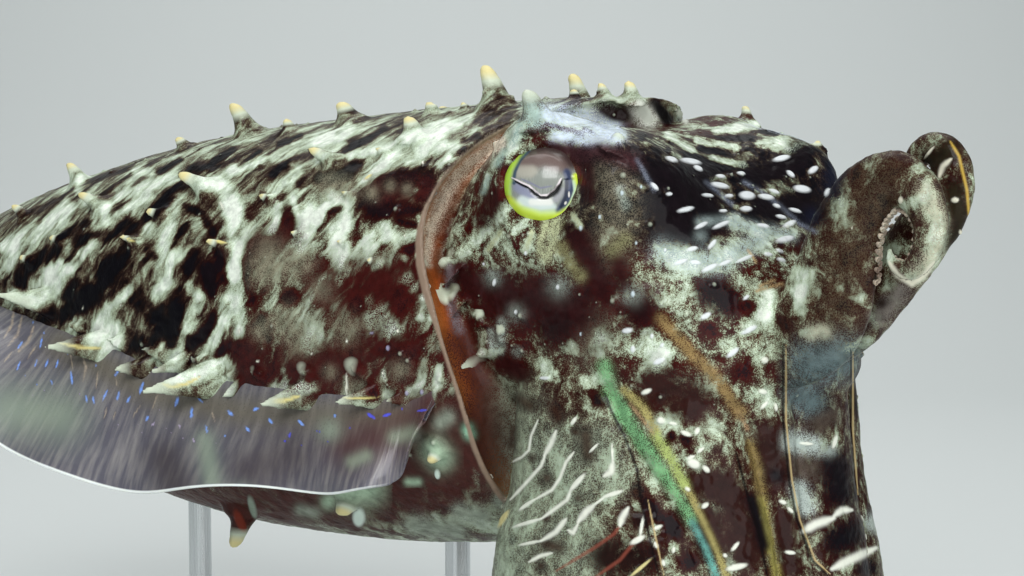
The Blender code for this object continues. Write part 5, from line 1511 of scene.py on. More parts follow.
# Markings of the fins: clear grey-violet with rows of blue dashes and tan rays.
FIN_MARKS = [
    *strokes(Layer.WASH, "#6A6455", 0.75, (16, (60, 345), (150, 392), (240, 412), (330, 416), (400, 414))),
    *strokes(Layer.WASH, "#3F3638", 0.7, (20, (165, 460), (175, 485)), (26, (250, 470), (290, 455))),
    *strokes(Layer.WASH, "#4A211C", 0.75, (22, (350, 445), (400, 432), (430, 415)), (12, (430, 402))),
    *strokes(Layer.WASH, "#8F9C88", 0.7, (7, (395, 437), (412, 433)), (6, (352, 462), (366, 456))),
    *strokes(Layer.WASH, "#8D9C8A", 0.7,
             (9, (205, 440), (212, 480)), (9, (240, 495)), (10, (330, 430)), (24, (10, 410), (60, 415))),
    *strokes(Layer.MARK, "#7FA6F2", 0.85,
             (1.36, (103, 400), (107, 391)), (1.36, (117, 400), (119, 392)), (1.36, (86, 396), (87, 402)),
             (1.36, (93, 397), (94, 403)), (1.36, (127, 403), (130, 397)), (1.77, (140, 393), (143, 383)),
             (1.77, (175, 406), (178, 398)), (1.63, (191, 418), (192, 408)), (1.36, (206, 426), (207, 432)),
             (1.5, (225, 436)), (1.63, (246, 427), (249, 431)), (1.77, (269, 419), (272, 423)),
             (1.77, (299, 421), (303, 425)), (2.04, (228, 411), (232, 415)), (1.77, (254, 410), (258, 408)),
             (2.18, (335, 416)), (1.09, (146, 421), (148, 416)), (1.09, (56, 368), (58, 360)),
             (1.22, (45, 368), (48, 360)), (1.09, (17, 370), (20, 362)), (1.02, (35, 366), (37, 360)),
             (0.95, (25, 376)), (1.09, (51, 380), (52, 384)), (0.95, (37, 384)),
             (1.36, (72, 384), (71, 372)), (1.09, (40, 348), (42, 338)), (1.36, (18, 348), (22, 342)),
             (1.63, (33, 322)), (1.63, (96, 365)), (1.5, (115, 375), (118, 372)),
             (1.63, (158, 389), (162, 388)), (1.36, (198, 398), (202, 402)), (1.5, (68, 353)),
             (1.5, (44, 333))),
    *strokes(Layer.MARK, "#5458D8", 0.95,
             (1.9, (368, 414), (374, 418)), (1.77, (390, 414), (384, 416)), (1.5, (402, 409)),
             (1.5, (418, 411), (426, 410)), (1.36, (320, 432)), (1.36, (350, 428)),
             (1.36, (290, 433), (289, 437)), (0.95, (285, 441)), (1.02, (301, 445)), (0.88, (268, 446)),
             (1.09, (241, 440)), (0.95, (328, 442)), (1.09, (317, 431))),
    *strokes(Layer.MARK, "#B9ACC8", 0.8,
             (1.09, (193, 438), (194, 442)), (1.09, (179, 425), (180, 428)), (0.95, (183, 438)),
             (1.09, (216, 443)), (0.95, (152, 426), (154, 422)), (0.82, (160, 426)), (0.82, (166, 428)),
             (0.82, (171, 433)), (0.82, (138, 424)), (0.88, (118, 425)), (0.95, (66, 394)),
             (0.95, (44, 390)), (0.82, (33, 396)), (0.88, (80, 394)), (0.88, (160, 410)),
             (0.82, (128, 431)), (0.82, (142, 432)), (0.82, (153, 434))),
    *strokes(Layer.MARK, "#AC9E8C", 0.7,
             (1, (70, 352), (73, 370)), (1, (82, 354), (86, 368), (83, 382)), (1, (98, 372), (96, 388)),
             (1, (116, 378), (117, 386)), (1, (158, 393), (153, 408)), (1.2, (212, 412), (215, 422)),
             (1, (140, 406), (132, 418)), (1, (107, 408), (104, 418)), (1, (115, 412), (113, 420)),
             (1.2, (14, 306), (12, 325), (4, 338)), (1.2, (22, 316), (18, 334), (8, 346)),
             (1.2, (34, 326), (28, 342), (18, 352)), (1.2, (36, 346), (28, 358)),
             (1.2, (12, 352), (4, 362))),
]

# Markings of the eye: yellow-green ring, grey iris flap, W-shaped pupil, pale floor with a painted white
# sheen, navy crescent and two painted glints.
EYE_MARKS = [
    *strokes(Layer.WASH, "#6B5753", 0.9, (9, (525, 162), (545, 159), (563, 164))),
    *strokes(Layer.WASH, "#35201F", 0.92, (7, (528, 148), (546, 145), (563, 149), (574, 162))),
    *strokes(Layer.WASH, "#B3AFA2", 0.8, (6, (522, 172), (532, 172))),
    *strokes(Layer.WASH, "#8B9089", 0.9, (6, (540, 180), (550, 180))),
    *strokes(Layer.WASH, "#9094AE", 0.9, (5, (518, 187), (524, 192), (534, 198))),
    *strokes(Layer.WASH, "#DCEAE6", 0.95, (5, (522, 201), (536, 206), (552, 208))),
    # Painted sheen: a brighter white streak over the pale floor.
    *strokes(Layer.WASH, "#F3F4EE", 0.9, (3.5, (532, 202), (550, 202))),
    *strokes(Layer.WASH, "#A5A6AC", 0.85, (3.5, (556, 199), (562, 191))),
    *strokes(Layer.WASH, "#C3DCA0", 0.8, (3, (524, 209), (540, 213), (554, 212))),
    *strokes(Layer.WASH, "#3A4768", 0.95, (4.2, (567, 173), (571, 186), (567, 199), (560, 211))),
    *strokes(Layer.WASH, "#202840", 0.95, (1.8, (567, 180), (566, 196), (561, 207))),
    *strokes(Layer.WASH, "#CFEBD4", 0.95, (1.6, (574, 181), (575, 191), (571, 203), (564, 212))),
    *strokes(Layer.WASH, "#364C60", 0.95, (1.8, (529, 150), (521, 160), (516, 172), (514, 183))),
    *strokes(Layer.WASH, "#B4DE3E", 0.97,
             (3.8, (527, 144), (517, 156), (510, 170), (507, 186), (508, 198))),
    *strokes(Layer.WASH, "#C8B22E", 0.8, (3, (509, 198), (514, 207))),
    *strokes(Layer.WASH, "#CFE83E", 0.97, (5.5, (511, 203), (522, 212), (540, 218), (556, 218))),
    *strokes(Layer.WASH, "#DAF23E", 0.97,
             (3.8, (556, 218), (570, 209), (578, 197), (580, 186), (576, 177))),
    # Painted glints: two tiny near-white flecks on the right of the eye.
    *strokes(Layer.MARK, "#F8F4F0", 0.95, (1.1, (569, 192), (569, 197)), (1.3, (566, 202), (565, 204))),
    *strokes(Layer.MARK, "#F3E8EC", 0.95,
             (1.0, (513, 178), (522, 182.5), (530, 186), (536, 191.5), (541, 195.3), (548, 194.7),
              (555, 189.5), (559, 183), (561, 178.5))),
    *strokes(Layer.MARK, "#7C7C94", 0.8, (0.9, (522, 179), (533, 184), (541, 188), (552, 186))),
]
PUPIL = strokes(Layer.MARK, "#020203", 1.0,
                (1.0, (514, 181), (521, 185), (529, 188.5)), (2.3, (529, 189), (534, 194), (540, 197.5)),
                (1.8, (538, 198), (548, 198.3)), (2.8, (548, 197.3), (556, 192), (560.5, 185)),
                (1.1, (560.5, 185), (562, 181)))
RING_COLOURS = ("#B4DE3E", "#CFE83E", "#DAF23E")


def is_fleck(mark: Stroke) -> bool:
    """Whether a stroke is a short crisp fleck, not a line."""
    return mark.layer is Layer.MARK and len(mark.line) <= 2


def halos(marks: list[Stroke], widest: float = 5.0, spread: float = 2.0, shift: float = 0.10) -> list[Stroke]:
    """The soft paler patch in which each small white fleck sits.

    Args:
        marks: The markings with the flecks among them.
        widest: Flecks of this half width or more have none.
        spread: A patch's width over its fleck's.
        shift: How much paler it makes the ground.

    Returns:
        The patches.
    """
    return [replace(mark, width=mark.width * spread, layer=Layer.TONE, colour="", strength=shift)
            for mark in marks if is_fleck(mark) and mark.width < widest]


SKIN_MARKS = [*MANTLE_MARKS, *COLLAR_MARKS, *BELLY_MARKS, *halos(ARM_MARKS + HEAD_MARKS), *ARM_MARKS,
              *HEAD_MARKS, *RAISED_MARKS]


@dataclass
class Brush:
    """Paints markings on points by their pixels, on the photographed side and mirrored on the far one."""

    points: np.ndarray
    normals: np.ndarray
    head_weight: np.ndarray
    tree: BVHTree | None = None
    flips: tuple = (1, -1)       # 1 for the photographed side, -1 for its mirror image
    wash_edge: int = 2           # power of a wash's falloff: 2 for a soft edge, 4 for a crisp one
    bin_px: int = 24             # the picture is sorted into squares of this size
    squares: int = 64            # along each side of that grid
    border_px: int = 64          # outside the picture
    facing_from: tuple = (0.02, 0.14)    # how squarely the skin faces the camera before paint shows on it
    reach: float = 1.7           # how far off a stroke is worked out, over its half width
    fleck: tuple = (0.6, 0.9)    # a fleck's added length and its width, over its half width
    fleck_edge: tuple = (1.25, 0.65)     # where a fleck's edge starts and is complete
    taper: float = 0.45          # width of a long mark's ends over its middle's
    fall: float = 0.75           # how fast a soft edge falls off
    mark_edge: int = 3           # power of a long mark's falloff
    even: float = 0.42           # a wash of this lightness leaves the ground's tone as it is
    pull: float = 0.5            # how far a wash shifts the tone otherwise

    def __post_init__(self) -> None:
        """Find where each point, and its mirror image, shows in the photograph."""
        self.views = []
        for flip in self.flips:
            points, normals = self.flipped(flip), self.normals * (1, flip, 1)
            pixels, _ = VIEW.project(points)
            to_camera = np.array(VIEW.place) - points
            to_camera /= np.linalg.norm(to_camera, axis=1, keepdims=True)
            facing = smooth_step(np.einsum("ij,ij->i", normals, to_camera), *self.facing_from)
            inside = (pixels > (-60, -60)).all(1) & (pixels < (1084, 640)).all(1)
            self.views.append((pixels, facing * inside))
        if self.tree:
            self.hide_covered()
        if len(self.views) == 2:
            self.views[1] = (self.views[1][0], self.views[1][1] * (1 - self.views[0][1]))
        self.bins = [self.sort(pixels, facing) for pixels, facing in self.views]
        self.tone = np.zeros(len(self.points))
        self.coats = {layer: np.zeros((len(self.points), 4)) for layer in (Layer.WASH, Layer.MARK)}

    def sort(self, pixels: np.ndarray, facing: np.ndarray) -> tuple[np.ndarray, np.ndarray]:
        """Sort the points that show by square of the picture.

        Args:
            pixels: Where the points show.
            facing: How squarely they face the camera, 0 for those that don't show.

        Returns:
            The points in the order of their squares, and where each square starts in that order.
        """
        shown = np.nonzero(facing > 0)[0]
        square = ((pixels[shown] + self.border_px) // self.bin_px).astype(int)
        number = square[:, 1] * self.squares + square[:, 0]
        order = np.argsort(number, kind="stable")
        return shown[order], np.searchsorted(number[order], np.arange(self.squares ** 2 + 1))

    def close(self, view: int, low: np.ndarray, high: np.ndarray) -> np.ndarray:
        """The points that show in a view near a box of pixels.

        Args:
            view: Which view.
            low: The box's first corner.
            high: Its last corner.

        Returns:
            The numbers of the points.
        """
        order, starts = self.bins[view]
        first, last = (((corner + self.border_px) // self.bin_px).astype(int) for corner in (low, high))
        first, last = np.maximum(first, 0), np.minimum(last, self.squares - 2)
        parts = [order[starts[row * self.squares + first[0]]:starts[row * self.squares + last[0] + 1]]
                 for row in range(first[1], last[1] + 1)]
        return np.concatenate(parts) if parts else np.empty(0, int)

    def flipped(self, flip: int) -> np.ndarray:
        """The points, or their mirror image.

        Args:
            flip: 1 for the points themselves, -1 for their image on the other side of the body or the head.

        Returns:
            The points or their image.
        """
        if flip == 1:
            return self.points
        weight = self.head_weight[:, None]
        across_head = from_head(to_head(self.points) * (1, -1, 1))
        return self.points * (1, -1, 1) * (1 - weight) + across_head * weight

    def hide_covered(self) -> None:
        """Take off the points that something nearer hides from the camera."""
        facing = self.views[0][1]
        start = Vector(VIEW.place)
        for k in np.nonzero(facing > 0)[0]:
            way = Vector(self.points[k]) - start
            if self.tree.ray_cast(start, way, way.length - 0.003)[0] is not None:
                facing[k] = 0.0

    def weight(self, stroke: Stroke, view: int) -> tuple[np.ndarray, np.ndarray]:
        """How strongly a stroke covers each point.

        Args:
            stroke: The stroke.
            view: Which of the views it is laid on in.

        Returns:
            The points that it reaches and its weight on each.
        """
        pixels, facing = self.views[view]
        line = np.array(stroke.line, float)
        reach = stroke.width * self.reach
        near = self.close(view, line.min(0) - reach, line.max(0) + reach)
        here = pixels[near]
        if is_fleck(stroke):
            start, end = line[0], line[-1]
            half = np.linalg.norm(end - start) / 2
            way = (end - start) / (2 * half) if half else np.array((1.0, 0.0))
            offset = here - (start + end) / 2
            longer, wider = self.fleck
            gap = np.hypot(offset @ way / (half + stroke.width * longer),
                           offset @ (-way[1], way[0]) / stroke.width / wider)
            return near, facing[near] * smooth_step(gap, *self.fleck_edge)
        gap = np.full(len(near), 1e9)
        taper = self.taper if stroke.layer is Layer.MARK else 1.0
        pieces = zip(line[:-1], line[1:]) if len(line) > 1 else ((line[0], line[0] + 1e-3),)
        for k, (a, b) in enumerate(pieces):
            along = np.clip((here - a) @ (b - a) / ((b - a) @ (b - a)), 0, 1)
            thin = np.interp(k + along, (0, 0.5, len(line) - 1.5, len(line) - 1), (taper, 1, 1, taper))
            gap = np.minimum(gap, np.linalg.norm(here - a - along[:, None] * (b - a), axis=1) / thin)
        power = self.wash_edge if stroke.layer is Layer.WASH else self.mark_edge
        return near, facing[near] * np.exp(-self.fall * (gap / stroke.width) ** power)

    def cover(self, marks: list[Stroke]) -> np.ndarray:
        """The greatest weight of some strokes.

        Args:
            marks: The strokes.

        Returns:
            Their greatest weight at each point.
        """
        greatest = np.zeros(len(self.points))
        for stroke in marks:
            for view in range(len(self.views)):
                near, weight = self.weight(stroke, view)
                greatest[near] = np.maximum(greatest[near], weight)
        return greatest

    def paint(self, marks: list[Stroke]) -> None:
        """Lay the strokes on, one over the other.

        Args:
            marks: The strokes in order. A wash also shifts the ground's tone towards its own lightness.
        """
        for stroke in marks:
            for view in range(len(self.views)):
                near, weight = self.weight(stroke, view)
                if stroke.layer is Layer.TONE:
                    self.tone[near] += weight * stroke.strength
                    continue
                colour = np.array(linear(stroke.colour)[:3])
                amount = weight * stroke.strength
                coat = self.coats[stroke.layer]
                before = coat[near, 3] * (1 - amount)
                total = before + amount
                coat[near, :3] = (coat[near, :3] * before[:, None] + colour * amount[:, None]) / np.maximum(
                    total, 1e-6)[:, None]
                coat[near, 3] = total
                if stroke.layer is Layer.WASH:
                    self.tone[near] += amount * (sqrt(colour.mean()) - self.even) * self.pull

    def store(self, mesh: bpy.types.Mesh) -> None:
        """Write both coats of paint to a mesh with the same points."""
        for layer, coat in self.coats.items():
            store(mesh, layer.value, coat)


def store(mesh: bpy.types.Mesh, name: str, values: np.ndarray) -> None:
    """Write a value, or a colour with its cover, to the points of a mesh.

    Args:
        mesh: The mesh.
        name: The name that materials read it by.
        values: One number, or four, for each point.
    """
    kind, field_name = ("FLOAT", "value") if values.ndim == 1 else ("FLOAT_COLOR", "color")
    data = mesh.attributes.new(name, kind, "POINT").data
    data.foreach_set(field_name, values.astype(np.float32).ravel())


@dataclass
class Skin:
    """The one skin over the mantle, head, arms and funnel, with its papillae and markings."""

    mantle: Mantle
    head: Head
    hanging: HangingArms
    raised: RaisedArms
    funnel: Funnel
    fins: list[Fin]
    papillae: Papillae
    voxel: float = 0.0009
    smoothing: int = 4
    junction_smoothing: int = 26
    wrinkle: float = 0.00035
    fine_from: float = 0.088
    fleck_height: float = 0.00050
    junction_levels: tuple = (-0.040, -0.016, 0.012, -0.004)    # under the head, where the arms' roots blend
    junction_from: tuple = (0.018, 0.034)
    junction_swell: float = 0.30
    close_px: tuple = ((380, 60), (1010, 600))   # the corners of the part that is drawn finer
    close_facing: float = -0.05
    small_tips: float = 0.42     # how much of the tips' cream the tiny papillae carry
    lump_scales: tuple = ((150, 1.0), (420, 0.5))    # of the wrinkles' noise, and their shares
    region_reach: float = 0.008  # a part further off than this leaves a point alone
    region_blend: float = 0.0012
    section_half: tuple = (0.085, 0.076, 0.092)  # half width, height and depth that give a point's turn
    lining_turn: tuple = (radians(20), radians(32))  # from the top, where the collar shows its lining
    belly_turn: tuple = (radians(105), radians(122))
    maroon_turn: tuple = (radians(45), radians(80))
    maroon_from: tuple = (-0.010, 0.060)
    crown_up: tuple = (0.024, 0.040)
    crown_from: tuple = (0.060, 0.075)
    lining_depth: float = 0.016
    arm_maroon: float = 0.45
    name: str = "skin"

    def nearest(self, form: Form, points: np.ndarray, limit: float) -> np.ndarray:
        """Distance of each point to a form's surface.

        Args:
            form: The form.
            points: The points.
            limit: The greatest distance that is told.

        Returns:
            The distance of each point.
        """
        found = np.full(len(points), limit)
        tree = form.tree()
        low, high = form.points.min(0) - limit, form.points.max(0) + limit
        for k in np.nonzero((points > low).all(1) & (points < high).all(1))[0]:
            hit = tree.find_nearest(points[k], limit)
            if hit[3] is not None:
                found[k] = hit[3]
        return found

    def relax(self, points: np.ndarray, edges: np.ndarray, rounds: int, weight: np.ndarray | float,
              swell: float = 0.53) -> np.ndarray:
        """Smooth a surface without shrinking it.

        Args:
            points: Its points.
            edges: Pairs of neighbours.
            rounds: How often to average.
            weight: How far each point takes part.
            swell: The step back outward after each step in; 0 lets the surface shrink.

        Returns:
            The moved points.
        """
        count = np.bincount(edges.ravel(), minlength=len(points)).astype(float)[:, None]
        weight = np.broadcast_to(weight, len(points))[:, None]
        for _ in range(rounds):
            for step in (0.5, -swell):
                total = np.stack([np.bincount(edges[:, 0], points[edges[:, 1], k], len(points))
                                  + np.bincount(edges[:, 1], points[edges[:, 0], k], len(points))
                                  for k in range(3)], -1)
                points = points + (total / count - points) * step * weight
        return points

    def wrap(self, forms: list[Form]) -> bpy.types.Mesh:
        """Draw one closed skin round all the forms.

        Args:
            forms: The forms, each closed.

        Returns:
            The skin.
        """
        source = add_object("skin_forms", Form.join(forms).mesh("skin_forms"))
        wrap = source.modifiers.new("wrap", "REMESH")
        wrap.mode = "VOXEL"
        wrap.voxel_size = self.voxel
        bpy.context.view_layer.update()
        graph = bpy.context.evaluated_depsgraph_get()
        mesh = bpy.data.meshes.new_from_object(source.evaluated_get(graph))
        old = source.data
        bpy.data.objects.remove(source)
        bpy.data.meshes.remove(old)
        mesh.name = self.name
        mesh.shade_smooth()
        return mesh

    def bumps(self, points: np.ndarray, normals: np.ndarray,
              region: np.ndarray) -> tuple[np.ndarray, np.ndarray]:
        """Raise hundreds of tiny papillae.

        Args:
            points: The skin's points.
            normals: Their normals.
            region: Where the papillae grow, from 0 to 1.

        Returns:
            The moved points, and how near each lies to a papilla's top.
        """
        chance = np.random.default_rng(SEED)
        chosen = chance.choice(len(points), self.papillae.tiny_count, replace=False, p=region / region.sum())
        low, high = (value * MM for value in self.papillae.tiny_mm)
        top = np.zeros(len(points))
        lift = np.zeros(len(points))
        for k in chosen:
            height = low + (high - low) * chance.random() ** 2
            near = np.nonzero(np.abs(points - points[k]).max(1) < height * 3)[0]
            gap = np.linalg.norm(points[near] - points[k], axis=1) / (height * 0.95)
            hump = np.exp(-gap ** 2)
            lift[near] = np.maximum(lift[near], hump * height)
            top[near] = np.maximum(top[near], hump)
        return points + normals * lift[:, None], top

    def build(self) -> bpy.types.Object:
        """Make the skin, its relief and its markings.

        Returns:
            The skin.
        """
        mantle, head = self.mantle.build(), self.head.build()
        hanging, raised = self.hanging.build(), self.raised.build()
        parts = {"mantle": mantle, "head": head, "hanging": Form.join(list(hanging.values())),
                 "raised": Form.join(list(raised.values()))}
        horns = self.papillae.build(mantle.tree(), head.tree(), self.fins)
        forms = [mantle, head, self.head.lid(-1), self.head.lid(1), self.funnel.build(), *hanging.values(),
                 *raised.values(), *(horn.build() for horn in horns)]
        mesh = self.wrap(forms)
        log.info("skin wrapped, %d points", len(mesh.vertices))
        edges = np.empty(len(mesh.edges) * 2, np.int32)
        mesh.edges.foreach_get("vertices", edges)
        edges = edges.reshape(-1, 2)
        points = self.relax(read_points(mesh), edges, self.smoothing, 1.0)
        local = to_head(points)
        levels = self.junction_levels
        junction = smooth_step(local[:, 2], *levels[:2]) * smooth_step(local[:, 2], *levels[2:])
        junction *= smooth_step(local[:, 0], *self.junction_from)
        points = self.relax(points, edges, self.junction_smoothing, junction, self.junction_swell)
        write_points(mesh, points)
        mesh = self.refine(mesh, points)
        points = read_points(mesh)
        log.info("skin refined, %d points", len(points))
        masks = self.regions(points, parts)
        normals = read_normals(mesh)
        grows = np.clip(masks[Channel.MANTLE] * (1 - masks[Channel.BELLY]) + 0.5 * masks[Channel.HEAD], 0, 1)
        grows *= 1 - masks[Channel.NECK_BAND]
        points, top = self.bumps(points, normals, grows)
        masks[Channel.TIP] = np.maximum(self.tips(points, horns), self.small_tips * top)
        (broad, most), (fine, least) = self.lump_scales
        lumps = np.array([most * noise.noise(Vector(p) * broad) + least * noise.noise(Vector(p) * fine)
                          for p in points])
        points += normals * (lumps * self.wrinkle * (1 - masks[Channel.NECK_BAND]))[:, None]
        write_points(mesh, points)
        self.mark(mesh, points, masks)
        return add_object(self.name, mesh, SkinFinish().material())

    def refine(self, mesh: bpy.types.Mesh, points: np.ndarray) -> bpy.types.Mesh:
        """Halve the grid where the photograph shows the head and arms close up.

        Args:
            mesh: The skin.
            points: Its points.

        Returns:
            The finer skin.
        """
        normals = read_normals(mesh)
        to_camera = np.array(VIEW.place) - points
        to_camera /= np.linalg.norm(to_camera, axis=1, keepdims=True)
        pixels, _ = VIEW.project(points)
        close = np.einsum("ij,ij->i", normals, to_camera) > self.close_facing
        close &= points[:, 0] > self.fine_from
        close &= (pixels > self.close_px[0]).all(1) & (pixels < self.close_px[1]).all(1)
        grid = bmesh.new()
        grid.from_mesh(mesh)
        grid.edges.ensure_lookup_table()
        chosen = [edge for edge in grid.edges if close[edge.verts[0].index] and close[edge.verts[1].index]]
        bmesh.ops.subdivide_edges(grid, edges=chosen, cuts=1, use_grid_fill=True, smooth=0.0)
        grid.to_mesh(mesh)
        grid.free()
        mesh.shade_smooth()
        return mesh

    def tips(self, points: np.ndarray, horns: list[Papilla]) -> np.ndarray:
        """How near each point lies to the end of a papilla.

        Args:
            points: The skin's points.
            horns: The papillae.

        Returns:
            For each point a value from 0 to 1.
        """
        near = np.zeros(len(points))
        for horn in horns:
            here = np.nonzero((np.abs(points - horn.root) < horn.height * 1.5).all(1))[0]
            way = horn.way / np.linalg.norm(horn.way)
            offset = points[here] - horn.root
            reach = offset @ way / horn.height
            aside = np.linalg.norm(offset - (reach * horn.height)[:, None] * way, axis=1)
            share = smooth_step(reach, 0.15, 0.95) * smooth_step(aside / (horn.height * horn.girth), 1.9, 0.9)
            near[here] = np.maximum(near[here], share * horn.tip)
        return near

    def regions(self, points: np.ndarray, parts: dict[str, Form]) -> dict[Channel, np.ndarray]:
        """Say for each point which part it belongs to.

        Args:
            points: The skin's points.
            parts: The parts that the skin was drawn round.

        Returns:
            For each channel, a value from 0 to 1 at each point.
        """
        gaps = {name: self.nearest(form, points, self.region_reach) for name, form in parts.items()}
        closeness = {name: np.exp(-gap / self.region_blend) for name, gap in gaps.items()}
        total = sum(closeness.values()) + 1e-9
        local, body = to_head(points), points - (0, 0, AXIS_HEIGHT)
        mantle = closeness["mantle"] / total
        head = closeness["head"] / total
        arm = (closeness["hanging"] + closeness["raised"]) / total
        width, height, depth = self.section_half
        angle = np.arctan2(-body[:, 1] / width, body[:, 2] / np.where(body[:, 2] > 0, height, depth))
        from_rim = body[:, 0] - self.mantle.rim(angle)
        round_ = self.mantle.squareness
        rim_radius = self.mantle.stations_mm[-1][1] * MM
        inward = rim_radius - (np.abs(body[:, 1:]) ** round_).sum(1) ** (1 / round_)
        turn = np.abs(np.arctan2(np.sin(angle), np.cos(angle)))
        side = smooth_step(turn, *self.lining_turn)
        ahead = smooth_step(from_rim, -0.0070, -0.0045)
        band = mantle * ahead * smooth_step(inward, 0.0006, 0.0014) * side
        edge = mantle * smooth_step(from_rim, -0.0010, 0.0) * smooth_step(inward, 0.0017, 0.0007) * side
        belly = smooth_step(turn, *self.belly_turn)
        maroon = mantle * smooth_step(body[:, 0], *self.maroon_from) * smooth_step(turn, *self.maroon_turn)
        crown = head * smooth_step(local[:, 2], *self.crown_up) * smooth_step(local[:, 0], *self.crown_from)
        return {Channel.MANTLE: mantle, Channel.HEAD: head, Channel.ARM: arm, Channel.NECK_BAND: band,
                Channel.NECK_DEPTH: np.clip(inward / self.lining_depth, 0, 1), Channel.RIM: edge,
                Channel.BELLY: belly * mantle, Channel.CROWN: crown,
                Channel.MAROON: np.clip(maroon + head * (1 - crown) + self.arm_maroon * arm, 0, 1)}

    def mark(self, mesh: bpy.types.Mesh, points: np.ndarray, masks: dict[Channel, np.ndarray]) -> None:
        """Write the markings to the skin's points.

        Args:
            mesh: The skin.
            points: Its points.
            masks: Its regions.
        """
        normals = read_normals(mesh)
        tree = BVHTree.FromPolygons(points.tolist(), [tuple(p.vertices) for p in mesh.polygons])
        brush = Brush(points, normals, 1 - masks[Channel.MANTLE], tree)
        brush.paint(SKIN_MARKS)
        brush.store(mesh)
        flecks = brush.cover([mark for mark in SKIN_MARKS if is_fleck(mark)])
        write_points(mesh, points + normals * (flecks * self.fleck_height)[:, None])
        masks[Channel.TONE] = brush.tone
        for channel, values in masks.items():
            store(mesh, channel.value, values)


# Finishes

def new_material(name: str, roughness: float, ior: float, subsurface: float = 0.0,
                 radius: tuple = (0.0035, 0.0018, 0.0010)) -> tuple[bpy.types.Material, bpy.types.Node]:
    """A new material whose shader's constants are set.

    Args:
        name: Its name.
        roughness: How matt it is.
        ior: Its index of refraction.
        subsurface: The share of light that enters it.
        radius: How far red, green and blue spread inside it, in metres.

    Returns:
        The material and its shader.
    """
    material = bpy.data.materials.new(name)
    material.use_nodes = True
    shader = material.node_tree.nodes["Principled BSDF"]
    shader.inputs["Roughness"].default_value = roughness
    shader.inputs["IOR"].default_value = ior
    shader.inputs["Subsurface Weight"].default_value = subsurface
    shader.inputs["Subsurface Radius"].default_value = radius
    shader.inputs["Subsurface Scale"].default_value = 1.0
    return material, shader


def cells(size_mm: float) -> float:
    """The scale of a pattern whose cells are this many millimetres wide."""
    return 1 / (size_mm * MM)


def ragged(tree: bpy.types.NodeTree, cover: bpy.types.NodeSocket,
           grain: bpy.types.NodeSocket) -> bpy.types.NodeSocket:
    """Break up a layer's cover by grain, along its soft edges only.

    Args:
        tree: The material's node tree.
        cover: How strongly the layer covers.
        grain: The pattern that breaks it up.

    Returns:
        The ragged cover.
    """
    rest = add_node(tree, "Math", (1.0, cover), operation="SUBTRACT")
    edge = add_node(tree, "Math", (cover, rest), operation="MULTIPLY")
    centred = add_node(tree, "Math", (grain, 0.5), operation="SUBTRACT")
    strong = add_node(tree, "Math", (centred, 9.0), operation="MULTIPLY")
    broken = add_node(tree, "Math", (edge, strong), operation="MULTIPLY")
    return add_node(tree, "Math", (cover, broken), operation="ADD", use_clamp=True)


def lay_coat(tree: bpy.types.NodeTree, under: bpy.types.NodeSocket, layer: Layer,
             grain: bpy.types.NodeSocket | None = None) -> bpy.types.NodeSocket:
    """Lay a coat of the mesh's own paint over a colour.

    Args:
        tree: The material's node tree.
        under: The colour under it.
        layer: Which coat.
        grain: A pattern that breaks up its edges, if any.

    Returns:
        The colour with its coat.
    """
    paint = add_node(tree, "Attribute", output="Color", attribute_name=layer.value)
    cover = paint.node.outputs["Alpha"]
    if grain is not None:
        cover = ragged(tree, cover, grain)
    return add_node(tree, "Mix", {0: cover, 6: under, 7: paint}, 2, data_type="RGBA")


